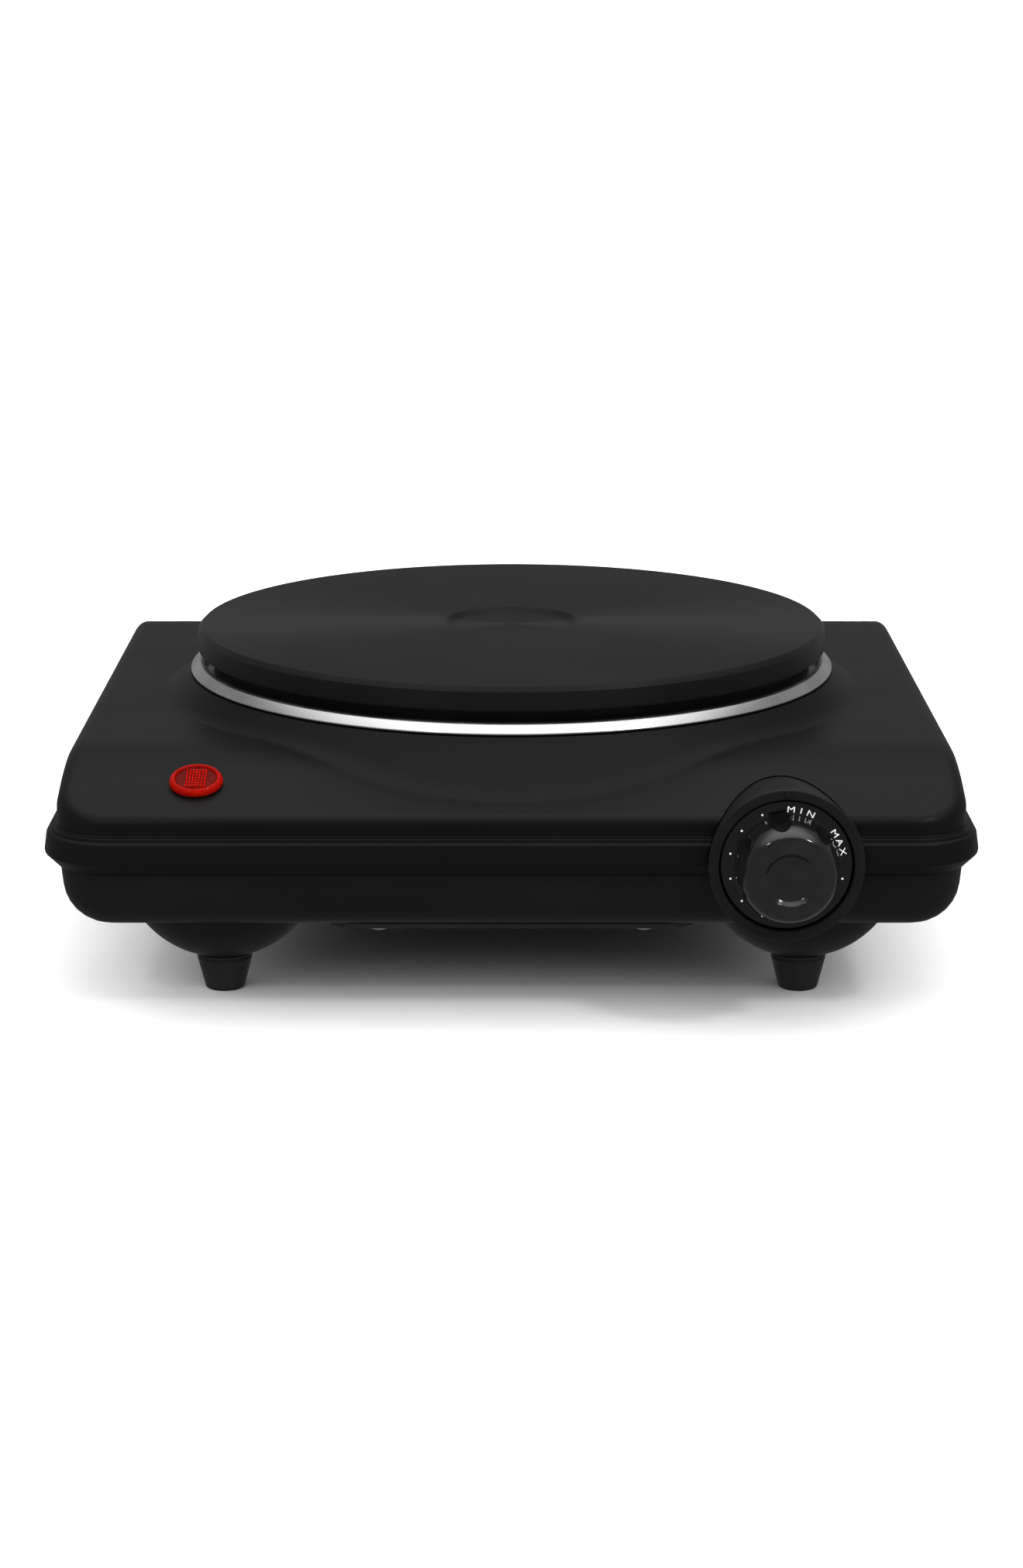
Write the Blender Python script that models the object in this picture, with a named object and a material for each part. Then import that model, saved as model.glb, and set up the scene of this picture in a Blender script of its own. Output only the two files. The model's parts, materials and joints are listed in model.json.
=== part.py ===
"""Single electric hot plate burner, built as an assembly of separate pieces.

Units are metres, +Z is up and the front faces -Y. The origin is on the floor, under the middle of the
whole object. Everything hangs from the empty plate_axis, which stands on the hot plate's own axis.
"""

from math import atan, cos, hypot, pi, radians, sin, sqrt

import bmesh
import bpy
from mathutils import Matrix, Vector

# ---- driving sizes ---------------------------------------------------------------------------------
GAP = 0.0003                 # clearance between pieces that touch
SHEET = 0.0012               # wall of both housings
TOTAL_HEIGHT = 0.0878        # floor to the top of the hot plate
PLATE_RADIUS = 0.0925
SIDE_MARGIN = 0.0295         # hot plate to the upper housing's shoulder, left and right
END_MARGIN = 0.0260          # the same in front and behind
CORNER_RADIUS = 0.0152

PLATE_RIM = 0.0069           # height of the hot plate's outer rim
PLATE_SKIRT_STEP = 0.0045    # rim to the skirt below it
PLATE_SKIRT_WALL = 0.0037
PLATE_DEPTH = 0.0128         # whole casting, top to skirt
PLATE_ROOF = 0.0052          # iron above the heating channel
PLATE_BEVEL = 0.0014
RECESS_RADIUS = 0.0199
RECESS_SLOPE = 0.0020
RECESS_DEPTH = 0.0012
PLATE_BOSS_RADIUS = 0.0150

DECK_DROP = 0.0189           # plate top down to the flat deck
COLLAR_DROP = 0.0133         # plate top down to the collar's lip
COLLAR_MARGIN = 0.0025       # collar's lip beyond the hot plate
COLLAR_SLOPE = 1.0
COLLAR_FILLET = 0.0025
HOLE_MARGIN = 0.0005         # housing's opening inside the hot plate's rim
FRONT_FOLD_INSET = 0.0325    # shoulder back to where the deck turns down to the apron
FRONT_SLOPE = 0.335
FRONT_FOLD_HALF = 0.0110
REAR_FOLD_INSET = 0.0244
REAR_SLOPE = 0.447
REAR_FOLD_HALF = 0.0040
FRONT_EDGE_RADIUS = 0.0022
SIDE_EDGE_RADIUS = 0.0045
FLANGE_DROP = 0.0159         # deck down to the flange
FLANGE_HEIGHT = 0.0068
FLANGE_REACH = 0.0036        # flange beyond the shoulder
FLANGE_UNDERCUT = 0.0036     # flange's lower edge down to the seam between the housings

PAN_INSET = 0.0006           # pan wall inside the shoulder outline, at the seam
PAN_TAPER = 0.0016
PAN_BOTTOM_Z = 0.0260
PAN_EDGE_RADIUS = 0.0120
SERVICE_HALF_X = 0.0440
SERVICE_INSET_Y = 0.0285
SERVICE_CORNER = 0.0100
COVER_OVERLAP_X = 0.0070
COVER_OVERLAP_Y = 0.0170
COVER_SHEET = 0.0013
VENT_COUNT = 7
VENT_PITCH = 0.0100
VENT_HALF_WIDTH = 0.0014
VENT_HALF_LENGTH = 0.0160
VENT_ROW_Y = 0.0420

FOOT_INSET_X = 0.0422        # shoulder in to the feet's axes
FOOT_INSET_Y = 0.0375
DOME_RADIUS = 0.0282
DOME_DEPTH = 0.0152          # domes below the pan's bottom
DOME_WALL = 0.0016
FOOT_TOP_RADIUS = 0.0078
FOOT_BOTTOM_RADIUS = 0.0054
FOOT_EDGE = 0.0006
FOOT_SCREW_SEAT = 0.0058
FOOT_SCREW_RADIUS = 0.0018
SCREW_RADIUS = 0.0015
SCREW_HEAD_RADIUS = 0.0031
SCREW_HEAD_HEIGHT = 0.0018
POST_RADIUS = 0.0040
POST_INSET = 0.0230
POST_Y = 0.0470
POST_BORE_DEPTH = 0.0150
HOUSING_SCREW_LENGTH = 0.0120
COVER_SCREW_LENGTH = 0.0060
COVER_SCREW_X = 0.0360

RING_SHEET = 0.0006
RING_RISE = 0.0025           # height of the trim ring's slope
RING_LIP_STEP = 0.0034       # trim ring's inner lip outside the skirt
RING_SEAT_STEP = 0.0030      # its seat's reach under the skirt
COIL_INNER = 0.0300
COIL_INSET = 0.0140          # skirt in to the coil's outermost turn
COIL_TURNS = 3
COIL_WIRE = 0.0016
LEAD_LENGTH = 0.0064         # coil's ends below the bridge's top
BEAD_RADIUS = 0.0032
ELEMENT_SHEET = 0.0010
REFLECTOR_SHEET = 0.0008
REFLECTOR_LIP = 0.0020       # reflector's edge inside the skirt
STUD_RADIUS = 0.0030
STUD_CLEARANCE = 0.0010
BRIDGE_INSET = 0.0120
BRIDGE_HALF_WIDTH = 0.0100
BRIDGE_SHEET = 0.0020
WASHER_THICKNESS = 0.0014
NUT_RADIUS = 0.0062
NUT_THICKNESS = 0.0050
STUD_TAIL = 0.0040

KNOB_INSET = 0.0496          # shoulder in to the control's axis
KNOB_LIFT = 0.0044           # control's axis above the seam
BEZEL_STANDOFF = 0.0070      # bezel's face in front of the shoulder
BEZEL_RADIUS = 0.0208
BEZEL_TAPER = 0.0033
BEZEL_LENGTH = 0.0270
BEZEL_WALL = 0.0018
BEZEL_EDGE = 0.0006
BEZEL_RIM = 0.0030           # width of the bezel's flat front rim
WELL_DEPTH = 0.0065
WELL_FLOOR = 0.0020
POINTER_HALF_WIDTH = 0.0009
POINTER_HEIGHT = 0.0006
SKIRT_RECESS = 0.0009        # dial's face behind the bezel's
SKIRT_THICKNESS = 0.0034
SKIRT_EDGE = 0.0003
SKIRT_WIDTH = 0.0034         # dial skirt beyond the grip
GRIP_LENGTH = 0.0152
FACE_RADIUS = 0.0070
FACE_DISH = 0.0016
KNOB_BORE = 0.0033
KNOB_BORE_DEPTH = 0.0150
HUB_RADIUS = 0.0055
SCALLOPS = 7
SCALLOP_DEPTH = 0.0021
SCALLOP_WIDTH = radians(15)
SCALLOP_START = radians(-9.4)

SPINDLE_RADIUS = 0.0030
SPINDLE_FLAT = 0.0010
SPINDLE_TIP = 0.0095         # spindle's front end beyond the bezel's face
SPINDLE_TAIL = 0.0215        # and its back end behind it
SPINDLE_BORE = 0.0019
SPINDLE_BORE_DEPTH = 0.0100
SPINDLE_COLLAR = 0.0046
SPINDLE_COLLAR_HEIGHT = 0.0014
CLIP_HALF_WIDTH = 0.0013
CLIP_SHEET = 0.0004
CLIP_LENGTH = 0.0075
BUSH_RADIUS = 0.0055
BUSH_NECK = 0.0040
BUSH_LENGTH = 0.0065
BRACKET_SHEET = 0.0015
BRACKET_HALF_HEIGHT = 0.0070
BRACKET_HALF_WIDTH = 0.0138
BRACKET_SCREW_X = 0.0105
BRACKET_SCREW_HEAD = 0.0024
BRACKET_SCREW_HEAD_HEIGHT = 0.0011
BRACKET_DEPTH = 0.0455       # bezel's face back to the bracket's rear tab
STACK_LEFT = -0.0215
STACK_RIGHT = -0.0130
INSULATOR_THICKNESS = (0.0037, 0.0032, 0.0034)
INSULATOR_HALF_HEIGHT = 0.0045
BLADE_HALF_HEIGHT = 0.0040
BLADE_TIP = 0.0090
BLADE_SHEET = 0.0005
BUTTON_INSET = 0.0030
BUTTON_RADIUS = 0.0018
BUTTON_HEIGHT = 0.0012
TAG_LENGTH = 0.0085
PLUNGER_RADIUS = 0.0015
PLUNGER_ENGAGEMENT = 0.0085  # plunger's length inside the spindle
RIVET_RADIUS = 0.0014
RIVET_HEAD_RADIUS = 0.0028
RIVET_TAIL_RADIUS = 0.0024

PILOT_INSET_X = 0.0374       # shoulder in to the pilot light's axis
PILOT_INSET_Y = 0.0163
LENS_RADIUS = 0.0072
LENS_HEIGHT = 0.0026
LENS_SHANK = 0.0055
LENS_WALL = 0.0010
LENS_DEPTH = 0.0090
LAMP_RADIUS = 0.0022
CLIP_RING_RADIUS = 0.0078
CLIP_RING_SHEET = 0.0007

GLAND_INSET = 0.0620
GLAND_LIFT = 0.0092          # gland's axis above the pan's bottom
GLAND_RADIUS = 0.0054
GLAND_FLANGE = 0.0066
GLAND_FLANGE_SHEET = 0.0015
GLAND_BORE = 0.0034
GLAND_STANDOFF = 0.0024      # gland's flange inside the pan's rounded edge
GLAND_REACH = 0.0032
BLOCK_SIZE = Vector((0.0260, 0.0150, 0.0115))
BLOCK_INSET_Y = 0.0345
TERMINAL_PITCH = 0.0120
TERMINAL_BORE = 0.0021
TERMINAL_BORE_Z = 0.0045
TERMINAL_SCREW = 0.0016
CUTOUT_X = -0.0300
CUTOUT_Y = -0.0300
CUTOUT_RADIUS = 0.0021
CUTOUT_HALF_LENGTH = 0.0075
WIRE_RADIUS = 0.0012

# ---- worked-out places: heights above the floor, reaches from the hot plate's axis -------------------
HALF_WIDTH = PLATE_RADIUS + SIDE_MARGIN
HALF_DEPTH = PLATE_RADIUS + END_MARGIN
COLLAR_RADIUS = PLATE_RADIUS + COLLAR_MARGIN
HOLE_RADIUS = PLATE_RADIUS - HOLE_MARGIN
PLATE_SKIRT_RADIUS = PLATE_RADIUS - PLATE_SKIRT_STEP
CHANNEL_RADIUS = PLATE_SKIRT_RADIUS - PLATE_SKIRT_WALL
COIL_OUTER = PLATE_SKIRT_RADIUS - COIL_INSET
RING_OUTER = COLLAR_RADIUS - GAP
RING_INNER = PLATE_SKIRT_RADIUS + RING_LIP_STEP
RING_SEAT = PLATE_SKIRT_RADIUS - RING_SEAT_STEP
FRONT_FOLD_Y = HALF_DEPTH - FRONT_FOLD_INSET
REAR_FOLD_Y = HALF_DEPTH - REAR_FOLD_INSET

DECK_Z = TOTAL_HEIGHT - DECK_DROP
COLLAR_Z = TOTAL_HEIGHT - COLLAR_DROP
FLANGE_TOP = DECK_Z - FLANGE_DROP
FLANGE_BOTTOM = FLANGE_TOP - FLANGE_HEIGHT
SEAM_Z = FLANGE_BOTTOM - FLANGE_UNDERCUT
PAN_FLOOR_Z = PAN_BOTTOM_Z + SHEET
FOOT_HEIGHT = PAN_BOTTOM_Z - DOME_DEPTH
DOME_CENTRE_Z = FOOT_HEIGHT - 0.0012 + DOME_RADIUS
PLATE_SKIRT_Z = TOTAL_HEIGHT - PLATE_DEPTH
CHANNEL_Z = TOTAL_HEIGHT - PLATE_ROOF
COIL_Z = CHANNEL_Z - GAP - COIL_WIRE
COVER_TOP = PLATE_SKIRT_Z - GAP
BRIDGE_TOP = DECK_Z - SHEET - GAP
LEAD_END_Z = BRIDGE_TOP - LEAD_LENGTH

SERVICE_HALF_Y = HALF_DEPTH - SERVICE_INSET_Y
FEET = [(x * (HALF_WIDTH - FOOT_INSET_X), y * (HALF_DEPTH - FOOT_INSET_Y)) for y in (-1, 1) for x in (-1, 1)]
HOUSING_SCREWS = [(x * (HALF_WIDTH - POST_INSET), y * POST_Y) for y in (-1, 1) for x in (-1, 1)]
COVER_SCREW_Y = SERVICE_HALF_Y + COVER_OVERLAP_Y / 2 + 0.0005
COVER_SCREWS = [(x * COVER_SCREW_X, y * COVER_SCREW_Y) for y in (-1, 1) for x in (-1, 1)]

KNOB_X = HALF_WIDTH - KNOB_INSET
KNOB_Z = SEAM_Z + KNOB_LIFT
BEZEL_REACH = HALF_DEPTH + BEZEL_STANDOFF
BEZEL_REAR_RADIUS = BEZEL_RADIUS - BEZEL_TAPER
WELL_RADIUS = BEZEL_RADIUS - BEZEL_RIM
WELL_REACH = BEZEL_REACH - WELL_DEPTH
SKIRT_RADIUS = WELL_RADIUS - GAP
GRIP_RADIUS = SKIRT_RADIUS - SKIRT_WIDTH
SKIRT_FRONT = BEZEL_REACH - SKIRT_RECESS
SKIRT_BACK = SKIRT_FRONT - SKIRT_THICKNESS
FACE_REACH = SKIRT_FRONT + GRIP_LENGTH
BRACKET_FRONT = WELL_REACH - WELL_FLOOR - GAP
BRACKET_BACK = BRACKET_FRONT - BRACKET_SHEET
BUSH_BACK = BRACKET_BACK - BUSH_LENGTH
SPINDLE_FRONT = BEZEL_REACH + SPINDLE_TIP
SPINDLE_BACK = BEZEL_REACH - SPINDLE_TAIL
REAR_TAB_REACH = BEZEL_REACH - BRACKET_DEPTH
STACK_X = (STACK_LEFT + STACK_RIGHT) / 2

PILOT_X = HALF_WIDTH - PILOT_INSET_X
PILOT_Y = HALF_DEPTH - PILOT_INSET_Y
GLAND_X = HALF_WIDTH - GLAND_INSET
GLAND_Z = PAN_BOTTOM_Z + GLAND_LIFT
BLOCK_PLACE = Vector((0.004 - GLAND_X, HALF_DEPTH - BLOCK_INSET_Y, PAN_FLOOR_Z + GAP))
REFLECTOR_Z = BRIDGE_TOP + GAP
CUTOUT_Z = REFLECTOR_Z - GAP - CUTOUT_RADIUS
PLATE_Y = (FACE_REACH - HALF_DEPTH - FLANGE_REACH) / 2

# ---- mesh resolution -------------------------------------------------------------------------------
CORNER_STEPS = 4
SIDE_STEPS = 12
ROUND = 48
MEDIUM_ROUND = 32
FASTENER_ROUND = 20
SMALL_ROUND = 12
HOLE_ROUND = 10
HEAD_ROUND = 8
GRIP_STEPS = 7 * SCALLOPS
SMOOTH_ANGLE = radians(35)


# ---- scene helpers ---------------------------------------------------------------------------------
def clear_scene():
    for obj in list(bpy.data.objects):
        bpy.data.objects.remove(obj, do_unlink=True)


def material(name, colour, roughness, metallic=0.0):
    mat = bpy.data.materials.new(name)
    mat.use_nodes = True
    shader = mat.node_tree.nodes["Principled BSDF"]
    shader.inputs["Base Color"].default_value = (*colour, 1.0)
    shader.inputs["Roughness"].default_value = roughness
    shader.inputs["Metallic"].default_value = metallic
    return mat


def empty(name, location, rotation=(0.0, 0.0, 0.0), parent=None):
    obj = bpy.data.objects.new(name, None)
    obj.location = location
    obj.rotation_euler = rotation
    obj.parent = parent
    bpy.context.scene.collection.objects.link(obj)
    return obj


def piece(name, data, mat, parent, location=(0.0, 0.0, 0.0), rotation=(0.0, 0.0, 0.0)):
    """An object from a mesh or a curve; cutters come without a material."""
    obj = bpy.data.objects.new(name, data)
    if mat is not None:
        data.materials.append(mat)
    obj.parent = parent
    obj.location = location
    obj.rotation_euler = rotation
    bpy.context.scene.collection.objects.link(obj)
    return obj


def finished(bm, name):
    """Turns a bmesh of closed shapes into a smooth-shaded mesh whose faces all point out."""
    bmesh.ops.recalc_face_normals(bm, faces=bm.faces)
    mesh = bpy.data.meshes.new(name)
    bm.to_mesh(mesh)
    bm.free()
    mesh.shade_smooth()
    mesh.set_sharp_from_angle(angle=SMOOTH_ANGLE)
    return mesh


def operate(target, other, operation="DIFFERENCE"):
    """Adds an exact Boolean and turns its other operand into a hidden wire guide."""
    step = target.modifiers.new(other.name, "BOOLEAN")
    step.operation = operation
    step.solver = "EXACT"
    step.object = other
    other.hide_render = True
    other.display_type = "WIRE"


# ---- shape helpers ---------------------------------------------------------------------------------
def join_rings(bm, first, second):
    """Bridges two rings of the same count, or a ring and a pole."""
    count = max(len(first), len(second))
    for step in range(count):
        after = (step + 1) % count
        if len(first) == 1:
            bm.faces.new((first[0], second[step], second[after]))
        elif len(second) == 1:
            bm.faces.new((first[step], second[0], first[after]))
        else:
            bm.faces.new((first[step], second[step], second[after], first[after]))


def add_ring(bm, radius, height, segments, place):
    """One horizontal ring of vertices, or a single pole at radius 0."""
    if radius == 0.0:
        return [bm.verts.new(place @ Vector((0.0, 0.0, height)))]
    angles = [2 * pi * step / segments for step in range(segments)]
    return [bm.verts.new(place @ Vector((radius * cos(a), radius * sin(a), height))) for a in angles]


def add_lathe(bm, profile, segments=SMALL_ROUND, at=(0.0, 0.0, 0.0), turn=None):
    """Revolves a closed (radius, height) outline about local Z; points at radius 0 become poles."""
    place = Matrix.Translation(at) @ (turn or Matrix())
    rings = [add_ring(bm, radius, height, segments, place) for radius, height in profile]
    pairs = list(zip(rings, rings[1:]))
    if len(rings[0]) > 1 and len(rings[-1]) > 1:
        pairs.append((rings[-1], rings[0]))
    for lower, upper in pairs:
        join_rings(bm, lower, upper)


def lathe(
        name, profile, mat, parent, segments=SMALL_ROUND, location=(0.0, 0.0, 0.0), rotation=(0.0, 0.0, 0.0)):
    """A piece revolved about its own Z axis."""
    bm = bmesh.new()
    add_lathe(bm, profile, segments)
    return piece(name, finished(bm, name), mat, parent, location, rotation)


def tube_profile(outer, inner, bottom, top):
    return [(inner, bottom), (outer, bottom), (outer, top), (inner, top)]


def rod_profile(radius, bottom, top):
    return [(0.0, bottom), (radius, bottom), (radius, top), (0.0, top)]


def add_prism(bm, outline, bottom, top):
    """Extrudes a plan outline from one height to another."""
    lower = [bm.verts.new((x, y, bottom)) for x, y in outline]
    upper = [bm.verts.new((x, y, top)) for x, y in outline]
    bm.faces.new(lower)
    bm.faces.new(upper)
    for step in range(len(outline)):
        after = (step + 1) % len(outline)
        bm.faces.new((lower[step], lower[after], upper[after], upper[step]))


def prism(name, outline, bottom, top, mat, parent, location=(0.0, 0.0, 0.0)):
    bm = bmesh.new()
    add_prism(bm, outline, bottom, top)
    return piece(name, finished(bm, name), mat, parent, location)


def rectangle(x_low, x_high, y_low, y_high):
    return [(x_low, y_low), (x_high, y_low), (x_high, y_high), (x_low, y_high)]


def hexagon(radius):
    return [(radius * cos(radians(60 * k)), radius * sin(radians(60 * k))) for k in range(6)]


def rounded_outline(half_x, half_y, radius, side_steps=SIDE_STEPS):
    """Points of a rounded rectangle, counter-clockwise, each with its outward normal."""
    corners = []
    for quarter, (side_x, side_y) in enumerate(((1, 1), (-1, 1), (-1, -1), (1, -1))):
        centre = Vector((side_x * (half_x - radius), side_y * (half_y - radius)))
        arc = []
        for step in range(CORNER_STEPS + 1):
            angle = radians(90 * quarter + 90 * step / CORNER_STEPS)
            normal = Vector((cos(angle), sin(angle)))
            arc.append((centre + radius * normal, normal))
        corners.append(arc)
    points = []
    for arc, following in zip(corners, corners[1:] + corners[:1]):
        points += arc
        start, normal = arc[-1]
        end = following[0][0]
        for step in range(1, side_steps):
            points.append((start.lerp(end, step / side_steps), normal))
    return points


def body_outline(offset):
    """The housings' shared plan outline, moved outwards by offset."""
    return rounded_outline(HALF_WIDTH + offset, HALF_DEPTH + offset, CORNER_RADIUS + offset)


def add_grid(bm, rows):
    """Skins a stack of equal closed rows, the last joined back to the first, as one closed shell."""
    rings = [[bm.verts.new(point) for point in row] for row in rows]
    for lower, upper in zip(rings, rings[1:] + rings[:1]):
        join_rings(bm, lower, upper)


def tube(name, points, radius, mat, parent):
    """A round bar or wire with flat ends along a chain of points."""
    curve = bpy.data.curves.new(name, "CURVE")
    curve.dimensions = "3D"
    curve.bevel_depth = radius
    curve.bevel_resolution = 1
    curve.use_fill_caps = True
    spline = curve.splines.new("POLY")
    spline.points.add(len(points) - 1)
    for slot, point in zip(spline.points, points):
        slot.co = (*point, 1.0)
    return piece(name, curve, mat, parent)


def smooth_route(route, steps=4):
    """Catmull-Rom curve through the route's points, with some steps from each point to the next."""
    points = [Vector(point) for point in route]
    padded = [2 * points[0] - points[1]] + points + [2 * points[-1] - points[-2]]
    found = []
    for before, start, end, after in zip(padded, padded[1:], padded[2:], padded[3:]):
        square = 2 * before - 5 * start + 4 * end - after
        cube = 3 * start - before - 3 * end + after
        for step in range(steps):
            t = step / steps
            found.append(0.5 * (2 * start + (end - before) * t + square * t ** 2 + cube * t ** 3))
    return found + [points[-1]]


# ---- housings --------------------------------------------------------------------------------------
def bend(distance, slope, half):
    """Drop beyond a fold: flat before it, slope after it, a parabola from -half to +half."""
    if distance <= -half:
        return 0.0
    if distance >= half:
        return slope * distance
    return slope * (distance + half) ** 2 / (4 * half)


def deck_height(y):
    front = bend(-y - FRONT_FOLD_Y, FRONT_SLOPE, FRONT_FOLD_HALF)
    rear = bend(y - REAR_FOLD_Y, REAR_SLOPE, REAR_FOLD_HALF)
    return DECK_Z - front - rear


def blended_max(first, second, reach):
    overlap = max(reach - abs(first - second), 0.0) / reach
    return max(first, second) + overlap ** 2 * reach / 4


def housing_height(x, y, sheet=0.0):
    """Height of the top skin; sheet moves it inwards to the under side."""
    cone = COLLAR_Z - COLLAR_SLOPE * (hypot(x, y) - COLLAR_RADIUS) - sheet * hypot(1.0, COLLAR_SLOPE)
    return blended_max(deck_height(y) - sheet, min(cone, COLLAR_Z - sheet), COLLAR_FILLET)


def edge_radius(normal):
    return FRONT_EDGE_RADIUS + (SIDE_EDGE_RADIUS - FRONT_EDGE_RADIUS) * normal.x ** 2


def collar_rows(sheet):
    """Circular rows from the opening outwards, over the collar to where the deck begins."""
    base = COLLAR_RADIUS + (COLLAR_Z - DECK_Z) / COLLAR_SLOPE
    radii = (COLLAR_RADIUS, (COLLAR_RADIUS + base) / 2, base, base + 0.0030, base + 0.0065)
    spokes = [point.normalized() for point, _ in body_outline(0.0)]
    rows = [[(*(HOLE_RADIUS * spoke), COLLAR_Z - sheet) for spoke in spokes]]
    for radius in radii:
        spots = [radius * spoke for spoke in spokes]
        rows.append([(*spot, housing_height(*spot, sheet)) for spot in spots])
    return rows, radii[-1]


def deck_rows(sheet, start_radius, fractions):
    """Rows from the collar's foot to the start of the edge rounding."""
    rows = []
    outline = body_outline(-sheet)
    for fraction in fractions:
        row = []
        for point, normal in outline:
            inset = point - (edge_radius(normal) - sheet) * normal
            spot = (start_radius * point.normalized()).lerp(inset, fraction)
            row.append((*spot, housing_height(*spot, sheet)))
        rows.append(row)
    return rows


def edge_rows(sheet, angles):
    """Rows round the shoulder edge, from the deck to the upright wall."""
    rows = []
    for angle in angles:
        row = []
        for point, normal in body_outline(-sheet):
            radius = edge_radius(normal) - sheet
            spot = point - radius * (1 - sin(angle)) * normal
            row.append((*spot, housing_height(*spot, sheet) - radius * (1 - cos(angle))))
        rows.append(row)
    return rows


def flat_row(offset, height):
    return [(*point, height) for point, _ in body_outline(offset)]


def flange_rows():
    """Outer rows of the two narrow ledges, the flange's face and its undercut."""
    ledge = FLANGE_REACH / 3
    steps = (
        (0.0003, FLANGE_TOP + 0.0008), (ledge + 0.0003, FLANGE_TOP), (ledge + 0.0007, FLANGE_TOP - 0.0007),
        (2.5 * ledge, FLANGE_TOP - 0.0012), (FLANGE_REACH - 0.0002, FLANGE_TOP - 0.0022),
        (FLANGE_REACH, FLANGE_BOTTOM), (0.0002, SEAM_Z))
    return [flat_row(offset, height) for offset, height in steps]


def flange_inner_rows():
    steps = (
        (0.0003 - SHEET, FLANGE_TOP), (FLANGE_REACH - 2 * SHEET, FLANGE_TOP - 0.0030),
        (FLANGE_REACH - SHEET, FLANGE_BOTTOM + 0.0004), (0.0006 - SHEET, SEAM_Z + 0.0008))
    return [flat_row(offset, height) for offset, height in steps]


def upper_housing_rows():
    outer, foot = collar_rows(0.0)
    outer += deck_rows(0.0, foot, (0.36, 0.70, 1.0))
    outer += edge_rows(0.0, (radians(30), radians(60), radians(90)))
    outer += flange_rows()
    inner, foot = collar_rows(SHEET)
    inner += deck_rows(SHEET, foot, (0.5, 1.0))
    inner += edge_rows(SHEET, (radians(90),))
    inner += flange_inner_rows()
    return outer + inner[::-1]


def bezel_radius(reach):
    """Radius of the bezel's tapered barrel at a distance in front of the plate axis."""
    return BEZEL_RADIUS - BEZEL_TAPER * (BEZEL_REACH - reach) / BEZEL_LENGTH


def knob_opening(name, knob_axis):
    """Tapered cutter that leaves the bezel its clearance in a housing."""
    front = BEZEL_REACH + 0.010
    back = BEZEL_REACH - BEZEL_LENGTH - GAP
    wide, narrow = bezel_radius(front) + GAP, bezel_radius(back) + GAP
    return lathe(name, [(0.0, back), (narrow, back), (wide, front), (0.0, front)], None, knob_axis, 40)


def upper_housing(black, axis, knob_axis, pilot_axis):
    """Top shell with its collar, screw posts, control opening and pilot light's hole."""
    bm = bmesh.new()
    add_grid(bm, upper_housing_rows())
    shell = piece("upper_housing", finished(bm, "upper_housing"), black, axis)
    posts = bmesh.new()
    bores = bmesh.new()
    foot = PAN_FLOOR_Z + GAP
    post = rod_profile(POST_RADIUS, foot, DECK_Z - SHEET / 2)
    bore = rod_profile(SCREW_RADIUS + GAP, foot - 0.001, foot + POST_BORE_DEPTH)
    for x, y in HOUSING_SCREWS:
        add_lathe(posts, post, HOLE_ROUND, (x, y, 0.0))
        add_lathe(bores, bore, HOLE_ROUND, (x, y, 0.0))
    operate(shell, piece("housing_posts", finished(posts, "housing_posts"), None, axis), "UNION")
    operate(shell, piece("post_bores", finished(bores, "post_bores"), None, axis))
    operate(shell, knob_opening("upper_knob_opening", knob_axis))
    hole = rod_profile(LENS_SHANK + GAP, -0.006, 0.006)
    operate(shell, lathe("pilot_hole", hole, None, pilot_axis, FASTENER_ROUND))


def pan_edge_rows(sheet, angles):
    """Rows round the pan's lower edge, from upright wall to flat bottom."""
    radius = PAN_EDGE_RADIUS - sheet
    wall = -PAN_INSET - PAN_TAPER - sheet
    rows = []
    for angle in angles:
        height = PAN_BOTTOM_Z + sheet + radius * (1 - sin(angle))
        rows.append(flat_row(wall - radius * (1 - cos(angle)), height))
    return rows


def service_row(height):
    outline = rounded_outline(SERVICE_HALF_X, SERVICE_HALF_Y, SERVICE_CORNER)
    return [(*point, height) for point, _ in outline]


def lower_housing_rows():
    top = SEAM_Z - GAP
    outer = [flat_row(-PAN_INSET, top)]
    outer += pan_edge_rows(0.0, [radians(angle) for angle in (0, 22, 45, 68, 90)])
    inner = [flat_row(-PAN_INSET - SHEET, top)]
    inner += pan_edge_rows(SHEET, [radians(angle) for angle in (0, 45, 90)])
    return outer + [service_row(PAN_BOTTOM_Z), service_row(PAN_FLOOR_Z)] + inner[::-1]


def dome_profile(floor, top, sheet, steps):
    """Cap of a sphere with a flat floor, up to a height inside the pan's bottom."""
    profile = [(0.0, floor)]
    for step in range(steps + 1):
        height = floor + (top - floor) * step / steps
        profile.append((sqrt((DOME_RADIUS - sheet) ** 2 - (height - DOME_CENTRE_Z) ** 2), height))
    return profile + [(0.0, top)]


def pan_holes(axis):
    """Cutter for the pan's screw holes, the feet's screw holes and the gland's hole."""
    holes = bmesh.new()
    foot_hole = rod_profile(FOOT_SCREW_RADIUS + GAP, FOOT_HEIGHT - 0.002, FOOT_HEIGHT + 0.004)
    for x, y in FEET:
        add_lathe(holes, foot_hole, HOLE_ROUND, (x, y, 0.0))
    screw_hole = rod_profile(SCREW_RADIUS + GAP, PAN_BOTTOM_Z - 0.002, PAN_FLOOR_Z + 0.002)
    for x, y in HOUSING_SCREWS + COVER_SCREWS:
        add_lathe(holes, screw_hole, HOLE_ROUND, (x, y, 0.0))
    gland_hole = rod_profile(GLAND_RADIUS + GAP, HALF_DEPTH - 0.012, HALF_DEPTH + 0.004)
    facing_rear = Matrix.Rotation(radians(-90), 4, "X")
    add_lathe(holes, gland_hole, FASTENER_ROUND, (-GLAND_X, 0.0, GLAND_Z), facing_rear)
    return piece("pan_holes", finished(holes, "pan_holes"), None, axis)


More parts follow.
